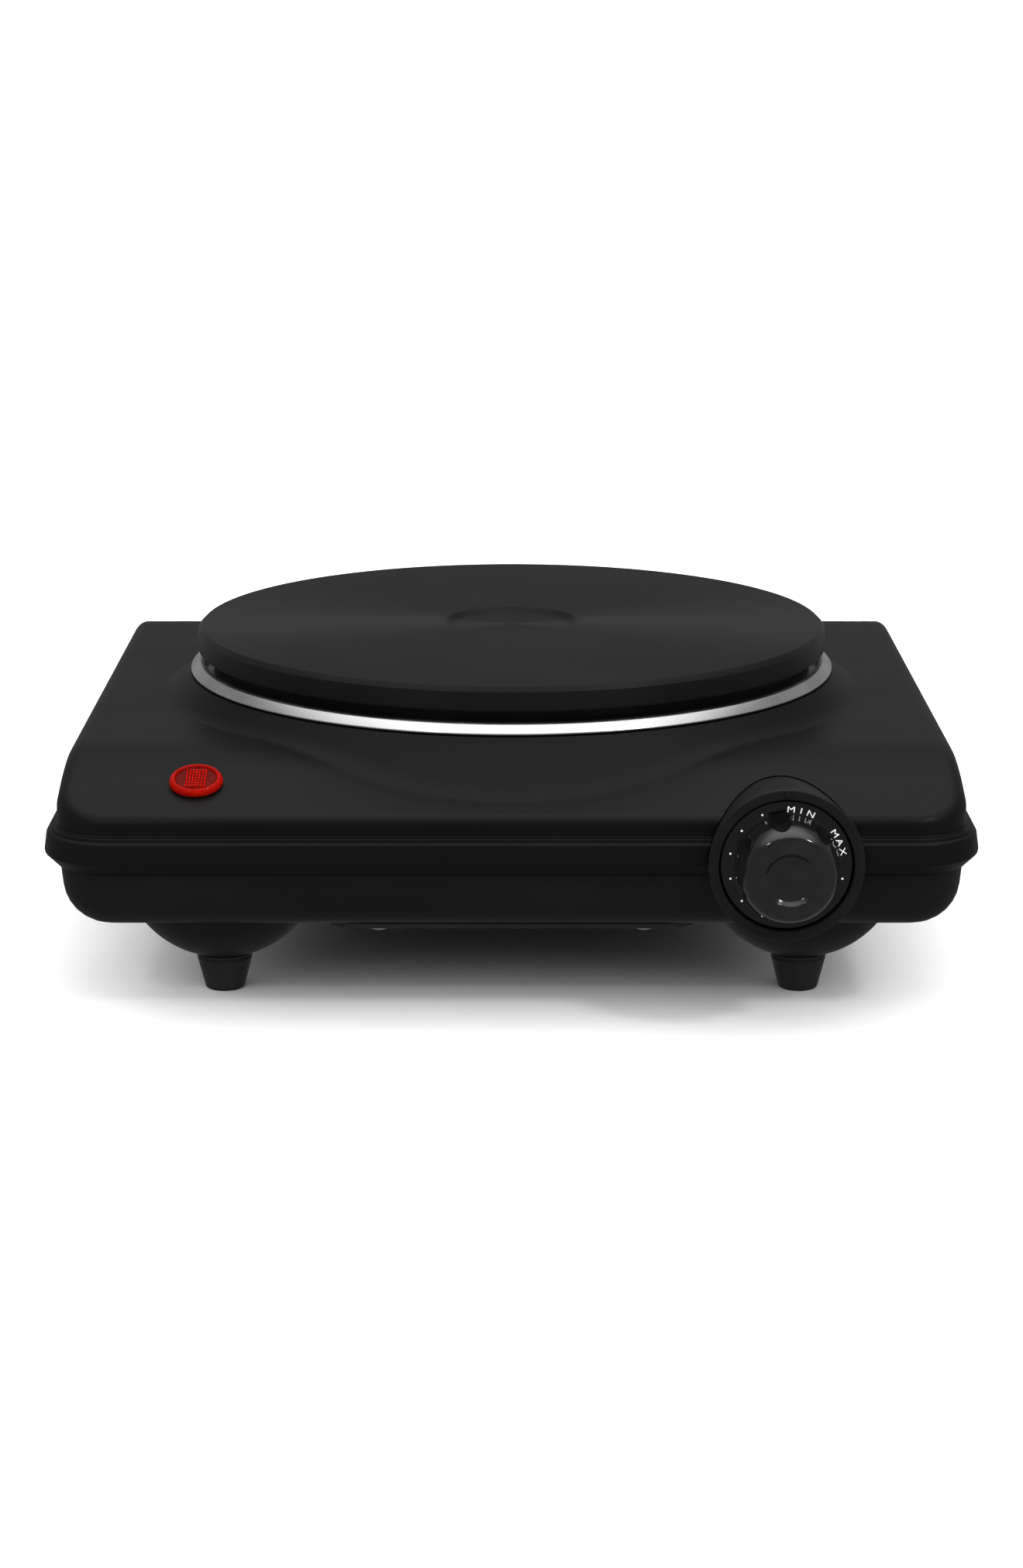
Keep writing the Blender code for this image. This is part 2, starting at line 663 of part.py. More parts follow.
def lower_housing(black, axis, knob_axis):
    """Pan with a rounded lower edge, four hollow domes for the feet and a service opening."""
    bm = bmesh.new()
    add_grid(bm, lower_housing_rows())
    pan = piece("lower_housing", finished(bm, "lower_housing"), black, axis)
    domes = bmesh.new()
    hollows = bmesh.new()
    dome = dome_profile(FOOT_HEIGHT, PAN_BOTTOM_Z + SHEET / 2, 0.0, 4)
    hollow = dome_profile(FOOT_HEIGHT + 0.0020, PAN_FLOOR_Z + 0.001, DOME_WALL, 3)
    for x, y in FEET:
        add_lathe(domes, dome, FASTENER_ROUND, (x, y, 0.0))
        add_lathe(hollows, hollow, 16, (x, y, 0.0))
    operate(pan, piece("foot_domes", finished(domes, "foot_domes"), None, axis), "UNION")
    operate(pan, piece("dome_hollows", finished(hollows, "dome_hollows"), None, axis))
    operate(pan, pan_holes(axis))
    operate(pan, knob_opening("lower_knob_opening", knob_axis))


def bottom_cover(grey, axis):
    """Sheet under the service opening, with two rows of vent slots."""
    half_x = SERVICE_HALF_X + COVER_OVERLAP_X
    half_y = SERVICE_HALF_Y + COVER_OVERLAP_Y
    top = PAN_BOTTOM_Z - GAP
    outline = [tuple(point) for point, _ in rounded_outline(half_x, half_y, SERVICE_CORNER, 1)]
    cover = prism("bottom_cover", outline, top - COVER_SHEET, top, grey, axis)
    cuts = bmesh.new()
    for row in (-VENT_ROW_Y, VENT_ROW_Y):
        for step in range(VENT_COUNT):
            x = (step - (VENT_COUNT - 1) / 2) * VENT_PITCH
            near, far = row - VENT_HALF_LENGTH, row + VENT_HALF_LENGTH
            slot = rectangle(x - VENT_HALF_WIDTH, x + VENT_HALF_WIDTH, near, far)
            add_prism(cuts, slot, top - 0.004, top + 0.002)
    for x, y in COVER_SCREWS:
        add_lathe(cuts, rod_profile(SCREW_RADIUS + GAP, top - 0.004, top + 0.002), HOLE_ROUND, (x, y, 0.0))
    operate(cover, piece("cover_cuts", finished(cuts, "cover_cuts"), None, axis))


# ---- hot plate stack -------------------------------------------------------------------------------
def hot_plate(iron, axis):
    """Casting with a shallow centre recess, a rim, and a channel and boss underneath."""
    top = TOTAL_HEIGHT
    rim = top - PLATE_RIM
    stud_hole = STUD_RADIUS + GAP
    profile = [
        (0.0, top - RECESS_DEPTH), (RECESS_RADIUS - RECESS_SLOPE, top - RECESS_DEPTH), (RECESS_RADIUS, top),
        (PLATE_RADIUS - PLATE_BEVEL, top), (PLATE_RADIUS, top - PLATE_BEVEL), (PLATE_RADIUS, rim + 0.0006),
        (PLATE_RADIUS - 0.0006, rim), (PLATE_SKIRT_RADIUS, rim), (PLATE_SKIRT_RADIUS, PLATE_SKIRT_Z),
        (CHANNEL_RADIUS, PLATE_SKIRT_Z), (CHANNEL_RADIUS, CHANNEL_Z), (PLATE_BOSS_RADIUS, CHANNEL_Z),
        (PLATE_BOSS_RADIUS, PLATE_SKIRT_Z), (stud_hole, PLATE_SKIRT_Z), (stud_hole, CHANNEL_Z - 0.0010),
        (0.0, CHANNEL_Z - 0.0010)]
    lathe("hot_plate", profile, iron, axis, ROUND)


def trim_ring(chrome, axis):
    """Sloped visible band, inner lip turned down, and a seat under the plate's skirt."""
    foot = COLLAR_Z + GAP
    seat = PLATE_SKIRT_Z - GAP
    lip = RING_INNER - RING_SHEET
    profile = [
        (RING_OUTER, foot), (RING_OUTER, foot + RING_SHEET), (RING_INNER, foot + RING_RISE + RING_SHEET),
        (lip, foot + RING_RISE), (lip, seat), (RING_SEAT, seat), (RING_SEAT, seat - RING_SHEET),
        (RING_INNER, seat - RING_SHEET), (RING_INNER, foot + RING_RISE - 0.0002)]
    lathe("trim_ring", profile, chrome, axis, ROUND)


def heating_coil(sheath, axis):
    """Flat spiral in the plate's channel; both ends turn down on the front side."""
    steps = 18 * COIL_TURNS
    spiral = []
    for step in range(steps + 1):
        turn = step / steps
        radius = COIL_INNER + (COIL_OUTER - COIL_INNER) * turn
        angle = 2 * pi * COIL_TURNS * turn - pi / 2
        spiral.append((radius * cos(angle), radius * sin(angle), COIL_Z))
    inner_end, outer_end = [
        [(0.0, -radius, LEAD_END_Z), (0.0, -radius, COIL_Z - 0.003)] for radius in (COIL_INNER, COIL_OUTER)]
    tube("heating_coil", inner_end + spiral + outer_end[::-1], COIL_WIRE, sheath, axis)


def lead_holes(name, radius, axis):
    """Cutter for the two places where the coil's ends come down."""
    bm = bmesh.new()
    for reach in (COIL_INNER, COIL_OUTER):
        add_lathe(bm, rod_profile(radius, LEAD_END_Z, COIL_Z - COIL_WIRE / 2), 14, (0.0, -reach, 0.0))
    return piece(name, finished(bm, name), None, axis)


def insulation_disc(mineral, axis):
    top = COIL_Z - COIL_WIRE - GAP
    profile = tube_profile(CHANNEL_RADIUS - 2 * GAP, PLATE_BOSS_RADIUS + 2 * GAP, PLATE_SKIRT_Z, top)
    disc = lathe("insulation_disc", profile, mineral, axis, MEDIUM_ROUND)
    operate(disc, lead_holes("disc_lead_holes", COIL_WIRE + 2 * GAP, axis))


def element_cover(steel, axis):
    hole = STUD_RADIUS + STUD_CLEARANCE
    profile = tube_profile(RING_SEAT - 4 * GAP, hole, COVER_TOP - ELEMENT_SHEET, COVER_TOP)
    cover = lathe("element_cover", profile, steel, axis, MEDIUM_ROUND)
    operate(cover, lead_holes("cover_lead_holes", COIL_WIRE + 2 * GAP, axis))


def heat_reflector(bright, axis):
    """Shallow dish on the bridge, with a raised lip that holds up the element's cover."""
    low = REFLECTOR_Z
    lip = COVER_TOP - ELEMENT_SHEET - GAP
    hole = STUD_RADIUS + STUD_CLEARANCE
    edge = PLATE_SKIRT_RADIUS - REFLECTOR_LIP
    profile = [
        (hole, low), (edge - 0.0100, low), (edge - 0.0060, lip - REFLECTOR_SHEET),
        (edge, lip - REFLECTOR_SHEET), (edge, lip), (edge - 0.0065, lip),
        (edge - 0.0105, low + REFLECTOR_SHEET), (hole, low + REFLECTOR_SHEET)]
    dish = lathe("heat_reflector", profile, bright, axis, MEDIUM_ROUND)
    operate(dish, lead_holes("reflector_lead_holes", BEAD_RADIUS + GAP, axis))


def coil_beads(ceramic, axis):
    """Ceramic tubes that keep the coil's ends off the reflector."""
    top = COVER_TOP - ELEMENT_SHEET - GAP
    profile = tube_profile(BEAD_RADIUS, COIL_WIRE + 2 * GAP, BRIDGE_TOP - 0.0015, top)
    for number, reach in enumerate((COIL_INNER, COIL_OUTER), 1):
        lathe(f"coil_bead_{number}", profile, ceramic, axis, SMALL_ROUND, (0.0, -reach, 0.0))


def plate_stud(steel, axis):
    tail = BRIDGE_TOP - BRIDGE_SHEET - 2 * GAP - WASHER_THICKNESS - NUT_THICKNESS - STUD_TAIL
    lathe("plate_stud", rod_profile(STUD_RADIUS, tail, CHANNEL_Z - 0.0020), steel, axis)


def plate_bridge(steel, axis):
    """Strap across the housing's opening, which the stud pulls up against its underside."""
    half_length = HALF_WIDTH - BRIDGE_INSET
    strap = rectangle(-half_length, half_length, -BRIDGE_HALF_WIDTH, BRIDGE_HALF_WIDTH)
    bridge = prism("plate_bridge", strap, BRIDGE_TOP - BRIDGE_SHEET, BRIDGE_TOP, steel, axis)
    hole = rod_profile(STUD_RADIUS + GAP, BRIDGE_TOP - BRIDGE_SHEET - 0.001, BRIDGE_TOP + 0.001)
    operate(bridge, lathe("bridge_hole", hole, None, axis))


def spring_washer(steel, axis):
    top = BRIDGE_TOP - BRIDGE_SHEET - GAP
    profile = tube_profile(NUT_RADIUS, STUD_RADIUS + GAP, top - WASHER_THICKNESS, top)
    lathe("spring_washer", profile, steel, axis, FASTENER_ROUND)


def plate_nut(steel, axis):
    top = BRIDGE_TOP - BRIDGE_SHEET - 2 * GAP - WASHER_THICKNESS
    nut = prism("plate_nut", hexagon(NUT_RADIUS), top - NUT_THICKNESS, top, steel, axis)
    bore = rod_profile(STUD_RADIUS + GAP, top - NUT_THICKNESS - 0.001, top + 0.001)
    operate(nut, lathe("nut_bore", bore, None, axis))


# ---- feet and fasteners ----------------------------------------------------------------------------
def feet(plastic, axis):
    """Tapered feet with a counterbore for the screw that holds each in its dome."""
    top = FOOT_HEIGHT - GAP
    counterbore = SCREW_HEAD_RADIUS + GAP
    hole = FOOT_SCREW_RADIUS + GAP
    profile = [
        (counterbore, 0.0), (FOOT_BOTTOM_RADIUS - FOOT_EDGE, 0.0), (FOOT_BOTTOM_RADIUS, FOOT_EDGE),
        (FOOT_TOP_RADIUS, top - FOOT_EDGE), (FOOT_TOP_RADIUS, top), (hole, top),
        (hole, FOOT_SCREW_SEAT), (counterbore, FOOT_SCREW_SEAT)]
    for number, (x, y) in enumerate(FEET, 1):
        lathe(f"foot_{number}", profile, plastic, axis, 16, (x, y, 0.0))


def screw(name, spot, seat, radius, tip, steel, axis):
    """Pan-head screw that points up, its head below the seat."""
    low = seat - SCREW_HEAD_HEIGHT
    profile = [
        (0.0, low), (SCREW_HEAD_RADIUS - 0.0007, low), (SCREW_HEAD_RADIUS, low + 0.0009),
        (SCREW_HEAD_RADIUS, seat), (radius, seat), (radius, tip), (0.0, tip)]
    lathe(name, profile, steel, axis, HEAD_ROUND, (*spot, 0.0))


def screws(steel, axis):
    """Foot, housing and cover screws, all driven from underneath."""
    under_pan = PAN_BOTTOM_Z - GAP
    under_cover = under_pan - COVER_SHEET - GAP
    for number, spot in enumerate(FEET, 1):
        tip = FOOT_HEIGHT + 0.0070
        screw(f"foot_screw_{number}", spot, FOOT_SCREW_SEAT - GAP, FOOT_SCREW_RADIUS, tip, steel, axis)
    for number, spot in enumerate(HOUSING_SCREWS, 1):
        tip = under_pan + HOUSING_SCREW_LENGTH
        screw(f"housing_screw_{number}", spot, under_pan, SCREW_RADIUS, tip, steel, axis)
    for number, spot in enumerate(COVER_SCREWS, 1):
        tip = under_cover + COVER_SCREW_LENGTH
        screw(f"cover_screw_{number}", spot, under_cover, SCREW_RADIUS, tip, steel, axis)


# ---- control: local Z runs forward from the plate axis, local Y is up ------------------------------
def bracket_screw_holes(name, back, front, knob_axis):
    holes = bmesh.new()
    for side in (-1, 1):
        spot = (side * BRACKET_SCREW_X, 0.0, 0.0)
        add_lathe(holes, rod_profile(SCREW_RADIUS + GAP, back, front), HOLE_ROUND, spot)
    return piece(name, finished(holes, name), None, knob_axis)


def knob_bezel(black, knob_axis):
    """Tapered barrel, open at the back, with the dial well in its front and a pointer above it."""
    front = BEZEL_REACH
    back = BEZEL_REACH - BEZEL_LENGTH
    under = WELL_REACH - WELL_FLOOR
    neck = BUSH_NECK + 0.0001
    profile = [
        (BEZEL_RADIUS - BEZEL_EDGE, front), (BEZEL_RADIUS, front - BEZEL_EDGE), (BEZEL_REAR_RADIUS, back),
        (BEZEL_REAR_RADIUS - BEZEL_WALL, back), (bezel_radius(under) - BEZEL_WALL, under), (neck, under),
        (neck, WELL_REACH), (WELL_RADIUS, WELL_REACH), (WELL_RADIUS, front - 0.0004),
        (WELL_RADIUS + 0.0004, front)]
    bezel = lathe("knob_bezel", profile, black, knob_axis, MEDIUM_ROUND)
    bar = rectangle(-POINTER_HALF_WIDTH, POINTER_HALF_WIDTH, WELL_RADIUS + 0.0008, BEZEL_RADIUS - 0.0004)
    pointer = prism("pointer_mark", bar, front - 0.0020, front + POINTER_HEIGHT, None, knob_axis)
    operate(bezel, pointer, "UNION")
    operate(bezel, bracket_screw_holes("bezel_screw_holes", under - 0.002, WELL_REACH + 0.002, knob_axis))


def scallop(angle, share):
    """Depth cut from the grip's radius at an angle clockwise from the top."""
    pitch = 2 * pi / SCALLOPS
    from_centre = (angle - SCALLOP_START + pitch / 2) % pitch - pitch / 2
    inside = min(abs(from_centre) / SCALLOP_WIDTH, 1.0)
    return share * SCALLOP_DEPTH * max(0.0, cos(inside * pi / 2)) ** 1.5


def knob_rows():
    """(radius, reach, share of the scallops) from the bore's mouth, over the back and skirt, to the face."""
    hollow_end = FACE_REACH - 0.0050
    return [
        (KNOB_BORE, SKIRT_BACK + KNOB_BORE_DEPTH, 0.0), (KNOB_BORE, SKIRT_BACK, 0.0),
        (HUB_RADIUS, SKIRT_BACK, 0.0), (HUB_RADIUS, hollow_end, 0.0),
        (GRIP_RADIUS - 0.0045, hollow_end, 0.0), (GRIP_RADIUS - 0.0032, SKIRT_BACK, 0.0),
        (SKIRT_RADIUS - SKIRT_EDGE, SKIRT_BACK, 0.0), (SKIRT_RADIUS, SKIRT_BACK + SKIRT_EDGE, 0.0),
        (SKIRT_RADIUS, SKIRT_FRONT - SKIRT_EDGE, 0.0), (SKIRT_RADIUS - SKIRT_EDGE, SKIRT_FRONT, 0.0),
        (GRIP_RADIUS + 0.0004, SKIRT_FRONT, 1.0), (GRIP_RADIUS, SKIRT_FRONT + 0.0006, 1.0),
        (GRIP_RADIUS - 0.0002, FACE_REACH - 0.0070, 1.0), (GRIP_RADIUS - 0.0009, FACE_REACH - 0.0045, 0.6),
        (GRIP_RADIUS - 0.0027, FACE_REACH - 0.0018, 0.0), (FACE_RADIUS + 0.0016, FACE_REACH - 0.0002, 0.0),
        (FACE_RADIUS + 0.0004, FACE_REACH, 0.0), (FACE_RADIUS - 0.0012, FACE_REACH - 0.0010, 0.0)]


def control_knob(gloss, knob_axis):
    """Dial skirt, scalloped grip with a domed shoulder, dished face, and a hollow back round the hub."""
    bm = bmesh.new()
    bore_end = [bm.verts.new((0.0, 0.0, SKIRT_BACK + KNOB_BORE_DEPTH))]
    rings = []
    for radius, height, share in knob_rows():
        ring = []
        for step in range(GRIP_STEPS):
            angle = 2 * pi * step / GRIP_STEPS
            spot = radius - scallop(angle, share)
            ring.append(bm.verts.new((spot * sin(angle), spot * cos(angle), height)))
        rings.append(ring)
    face_centre = [bm.verts.new((0.0, 0.0, FACE_REACH - FACE_DISH))]
    stack = [bore_end] + rings + [face_centre]
    for first, second in zip(stack, stack[1:]):
        join_rings(bm, first, second)
    piece("control_knob", finished(bm, "control_knob"), gloss, knob_axis)


def knob_clip(steel, knob_axis):
    """Spring strip between the spindle's flat and the knob's bore."""
    low = SPINDLE_RADIUS - SPINDLE_FLAT + GAP
    strip = rectangle(-CLIP_HALF_WIDTH, CLIP_HALF_WIDTH, low, low + CLIP_SHEET)
    back = SKIRT_FRONT + 0.0010
    prism("knob_clip", strip, back, back + CLIP_LENGTH, steel, knob_axis)


def thermostat_bush(brass, knob_axis):
    """Turned bush behind the bracket, its neck through the bracket's hole."""
    inner = SPINDLE_RADIUS + GAP
    shoulder = BRACKET_BACK - GAP
    profile = [
        (inner, BUSH_BACK), (BUSH_RADIUS, BUSH_BACK), (BUSH_RADIUS, shoulder), (BUSH_NECK, shoulder),
        (BUSH_NECK, BRACKET_FRONT), (inner, BRACKET_FRONT)]
    lathe("thermostat_bush", profile, brass, knob_axis, FASTENER_ROUND)


def thermostat_spindle(steel, knob_axis):
    """Spindle with a collar behind the bush, a bore for the plunger and a flat at its knob end."""
    collar = BUSH_BACK - GAP
    profile = [
        (0.0, SPINDLE_BACK + SPINDLE_BORE_DEPTH), (SPINDLE_BORE, SPINDLE_BACK + SPINDLE_BORE_DEPTH),
        (SPINDLE_BORE, SPINDLE_BACK), (SPINDLE_RADIUS, SPINDLE_BACK),
        (SPINDLE_RADIUS, collar - SPINDLE_COLLAR_HEIGHT), (SPINDLE_COLLAR, collar - SPINDLE_COLLAR_HEIGHT),
        (SPINDLE_COLLAR, collar), (SPINDLE_RADIUS, collar), (SPINDLE_RADIUS, SPINDLE_FRONT),
        (0.0, SPINDLE_FRONT)]
    spindle = lathe("thermostat_spindle", profile, steel, knob_axis, 16)
    flat = rectangle(-0.004, 0.004, SPINDLE_RADIUS - SPINDLE_FLAT, SPINDLE_RADIUS + 0.001)
    operate(spindle, prism("spindle_flat", flat, SKIRT_FRONT, SPINDLE_FRONT + 0.001, None, knob_axis))


def thermostat_bracket(steel, knob_axis):
    """Front plate, side leg and rear tab bent from one strip."""
    half = BRACKET_HALF_WIDTH
    tab_back = REAR_TAB_REACH - BRACKET_SHEET
    tab_end = STACK_LEFT - 0.0010
    strip = [
        (-half, BRACKET_FRONT), (half, BRACKET_FRONT), (half, tab_back), (tab_end, tab_back),
        (tab_end, REAR_TAB_REACH), (half - BRACKET_SHEET, REAR_TAB_REACH),
        (half - BRACKET_SHEET, BRACKET_BACK), (-half, BRACKET_BACK)]
    bm = bmesh.new()
    add_prism(bm, strip, -BRACKET_HALF_HEIGHT, BRACKET_HALF_HEIGHT)
    bmesh.ops.transform(bm, matrix=Matrix.Rotation(radians(90), 4, "X"), verts=bm.verts)
    bracket = piece("thermostat_bracket", finished(bm, "thermostat_bracket"), steel, knob_axis)
    back, front = BRACKET_BACK - 0.002, BRACKET_FRONT + 0.002
    bush_hole = rod_profile(BUSH_NECK + GAP, back, front)
    operate(bracket, lathe("bracket_bush_hole", bush_hole, None, knob_axis, FASTENER_ROUND))
    operate(bracket, bracket_screw_holes("bracket_screw_holes", back, front, knob_axis))
    operate(bracket, rivet_hole("bracket_rivet_hole", knob_axis))


def bracket_screws(steel, knob_axis):
    """Low-headed screws from the dial's well back through the bezel's floor and the bracket."""
    back = BRACKET_BACK - 0.0020
    seat = WELL_REACH + GAP
    front = seat + BRACKET_SCREW_HEAD_HEIGHT
    profile = [
        (0.0, back), (SCREW_RADIUS, back), (SCREW_RADIUS, seat), (BRACKET_SCREW_HEAD, seat),
        (BRACKET_SCREW_HEAD, front), (0.0, front)]
    for number, side in enumerate((-1, 1), 1):
        spot = (side * BRACKET_SCREW_X, 0.0, 0.0)
        lathe(f"bracket_screw_{number}", profile, steel, knob_axis, HOLE_ROUND, spot)


def stack_levels():
    """Back and front reach of every layer clamped on the bracket's rear tab, rearmost first."""
    rear, middle, front = INSULATOR_THICKNESS
    reach = REAR_TAB_REACH + GAP
    levels = []
    for thickness in (rear, BLADE_SHEET, middle, BLADE_SHEET, front):
        levels.append((reach, reach + thickness))
        reach += thickness + GAP
    return levels


def rivet_hole(name, knob_axis):
    back = REAR_TAB_REACH - BRACKET_SHEET - 0.002
    hole = rod_profile(RIVET_RADIUS + GAP, back, stack_levels()[-1][1] + 0.002)
    return lathe(name, hole, None, knob_axis, HOLE_ROUND, (STACK_X, 0.0, 0.0))


def spring_blade(name, back, facing, metal, knob_axis):
    """Blade from the stack to under the spindle, with a contact button on its front or back."""
    root = STACK_RIGHT + GAP
    hinge = empty(f"{name}_hinge", (root, 0.0, back), parent=knob_axis)
    tip = BLADE_TIP - root
    outline = rectangle(0.0, tip, -BLADE_HALF_HEIGHT, BLADE_HALF_HEIGHT)
    blade = prism(name, outline, 0.0, BLADE_SHEET, metal, hinge)
    face = BLADE_SHEET if facing > 0 else 0.0
    ends = sorted((BLADE_SHEET / 2, face + facing * BUTTON_HEIGHT))
    spot = (tip - BUTTON_INSET, 0.0, 0.0)
    operate(blade, lathe(f"{name}_button", rod_profile(BUTTON_RADIUS, *ends), None, hinge, 12, spot), "UNION")


def stack_plate(name, left, half_height, level, mat, knob_axis):
    """One flat layer of the stack, pierced for the rivet."""
    plate = prism(name, rectangle(left, STACK_RIGHT, -half_height, half_height), *level, mat, knob_axis)
    operate(plate, rivet_hole(f"{name}_hole", knob_axis))


def adjusting_plunger(ceramic, knob_axis):
    """Ceramic pin between the contact leaf and the spindle's bore."""
    profile = rod_profile(PLUNGER_RADIUS, stack_levels()[3][1] + GAP, SPINDLE_BACK + PLUNGER_ENGAGEMENT)
    lathe("adjusting_plunger", profile, ceramic, knob_axis)


def stack_rivet(steel, knob_axis):
    head = stack_levels()[-1][1] + GAP
    tail = REAR_TAB_REACH - BRACKET_SHEET - GAP
    profile = [
        (0.0, tail - 0.0009), (RIVET_TAIL_RADIUS, tail - 0.0009), (RIVET_TAIL_RADIUS, tail),
        (RIVET_RADIUS, tail), (RIVET_RADIUS, head), (RIVET_HEAD_RADIUS, head),
        (RIVET_HEAD_RADIUS, head + 0.0010), (0.0, head + 0.0010)]
    lathe("stack_rivet", profile, steel, knob_axis, SMALL_ROUND, (STACK_X, 0.0, 0.0))


def contact_stack(ceramic, brass, bimetal, steel, knob_axis):
    """Bimetal strip, contact leaf and their terminals between three insulators, under one rivet."""
    rear, bimetal_level, middle, leaf_level, front = stack_levels()
    spring_blade("bimetal_strip", bimetal_level[0], 1, bimetal, knob_axis)
    spring_blade("contact_leaf", leaf_level[0], -1, brass, knob_axis)
    tag_end = STACK_LEFT - TAG_LENGTH
    stack_plate("load_terminal", tag_end, BLADE_HALF_HEIGHT, bimetal_level, brass, knob_axis)
    stack_plate("line_terminal", tag_end, BLADE_HALF_HEIGHT, leaf_level, brass, knob_axis)
    for number, level in enumerate((rear, middle, front), 1):
        name = f"stack_insulator_{number}"
        stack_plate(name, STACK_LEFT, INSULATOR_HALF_HEIGHT, level, ceramic, knob_axis)
    stack_rivet(steel, knob_axis)


# ---- pilot light: local Z points out of the apron --------------------------------------------------
def pilot_lens(red, pilot_axis):
    """Domed lens with a rim on the apron and a hollow shank through it."""
    bore = LENS_SHANK - LENS_WALL
    profile = [
        (0.0, LENS_HEIGHT), (LENS_RADIUS * 0.36, LENS_HEIGHT - 0.00015),
        (LENS_RADIUS * 0.68, LENS_HEIGHT - 0.0006), (LENS_RADIUS * 0.90, LENS_HEIGHT - 0.0014),
        (LENS_RADIUS, LENS_HEIGHT - 0.0021), (LENS_RADIUS, GAP), (LENS_SHANK, GAP), (LENS_SHANK, -LENS_DEPTH),
        (bore, -LENS_DEPTH), (bore, 0.0004), (0.0, 0.0008)]
    lathe("pilot_lens", profile, red, pilot_axis, FASTENER_ROUND)


def pilot_lamp(glass, pilot_axis):
    tip, base = -0.0011, -LENS_DEPTH - 0.0025
    profile = [
        (0.0, base), (LAMP_RADIUS - 0.0004, base + 0.0003), (LAMP_RADIUS, base + 0.0015),
        (LAMP_RADIUS, tip - 0.0019), (LAMP_RADIUS - 0.0008, tip - 0.0004), (0.0, tip)]
    lathe("pilot_lamp", profile, glass, pilot_axis)


def pilot_clip(steel, pilot_axis):
    top = -SHEET - 2 * GAP
    profile = tube_profile(CLIP_RING_RADIUS, LENS_SHANK + GAP, top - CLIP_RING_SHEET, top)
    lathe("pilot_clip", profile, steel, pilot_axis, FASTENER_ROUND)


# ---- supply side -----------------------------------------------------------------------------------
def terminal_block(ceramic, axis):
    """Block on the pan's floor with a through bore and a clamp hole for each pole."""
    half_x, half_y, height = BLOCK_SIZE.x / 2, BLOCK_SIZE.y / 2, BLOCK_SIZE.z
    outline = rectangle(-half_x, half_x, -half_y, half_y)
    block = prism("terminal_block", outline, 0.0, height, ceramic, axis, BLOCK_PLACE)
    bores = bmesh.new()
    clamps = bmesh.new()
    along_y = Matrix.Rotation(radians(90), 4, "X")
    bore = rod_profile(TERMINAL_BORE, -half_y - 0.002, half_y + 0.002)
    clamp = rod_profile(TERMINAL_SCREW + GAP, TERMINAL_BORE_Z + 0.0005, height + 0.002)
    for side in (-1, 1):
        x = side * TERMINAL_PITCH / 2
        add_lathe(bores, bore, SMALL_ROUND, (x, 0.0, TERMINAL_BORE_Z), along_y)
        add_lathe(clamps, clamp, SMALL_ROUND, (x, 0.0, 0.0))
    operate(block, piece("block_bores", finished(bores, "block_bores"), None, axis, BLOCK_PLACE))
    operate(block, piece("block_clamps", finished(clamps, "block_clamps"), None, axis, BLOCK_PLACE))


def terminal_screws(brass, axis):
    low = TERMINAL_BORE_Z + WIRE_RADIUS + GAP
    profile = rod_profile(TERMINAL_SCREW, low, BLOCK_SIZE.z + 0.0006)
    for number, side in enumerate((-1, 1), 1):
        place = BLOCK_PLACE + Vector((side * TERMINAL_PITCH / 2, 0.0, 0.0))
        lathe(f"terminal_screw_{number}", profile, brass, axis, HOLE_ROUND, place)


def cord_gland(black, axis):
    """Open bush through the pan's rear wall, flanged inside; the mains lead would enter its bore."""
    wall = HALF_DEPTH - PAN_INSET - PAN_TAPER
    inner = PAN_EDGE_RADIUS - SHEET
    above_floor = GLAND_Z - GLAND_FLANGE - PAN_FLOOR_Z
    chord = sqrt(inner ** 2 - (inner - above_floor) ** 2)
    seat = wall - SHEET - inner + chord - GLAND_STANDOFF
    tip = wall + GLAND_REACH
    back = seat - GLAND_FLANGE_SHEET
    profile = [
        (GLAND_BORE, back), (GLAND_FLANGE, back), (GLAND_FLANGE, seat), (GLAND_RADIUS, seat),
        (GLAND_RADIUS, tip - 0.0008), (GLAND_RADIUS - 0.0008, tip), (GLAND_BORE, tip)]
    lathe("cord_gland", profile, black, axis, 24, (-GLAND_X, 0.0, GLAND_Z), (radians(-90), 0.0, 0.0))


def thermal_cutout(metal, axis):
    """One-shot thermal fuse held against the reflector beside the bridge."""
    radius, half = CUTOUT_RADIUS, CUTOUT_HALF_LENGTH
    profile = [
        (0.0, -half), (radius - 0.0007, 0.0005 - half), (radius, 0.0020 - half), (radius, half - 0.0020),
        (radius - 0.0007, half - 0.0005), (0.0, half)]
    place = (CUTOUT_X, CUTOUT_Y, CUTOUT_Z)
    lathe("thermal_cutout", profile, metal, axis, SMALL_ROUND, place, (0.0, radians(90), 0.0))


def line_route(tag, block_front, floor):
    """Terminal block's right pole, along the pan's floor, up to the contact leaf's terminal."""
    x = BLOCK_PLACE.x + TERMINAL_PITCH / 2
    bore = BLOCK_PLACE.z + TERMINAL_BORE_Z
    reach = sum(stack_levels()[3]) / 2
    return [
        (x, BLOCK_PLACE.y, bore), (x, block_front, bore), (x, block_front - 0.016, floor),
        (-0.030, 0.020, floor), (tag - 0.034, -0.060, floor), (tag - 0.018, 0.006 - reach, floor + 0.004),
        (tag - 0.011, -reach, KNOB_Z - 0.006), (tag - 0.005, -reach, KNOB_Z), (tag, -reach, KNOB_Z)]


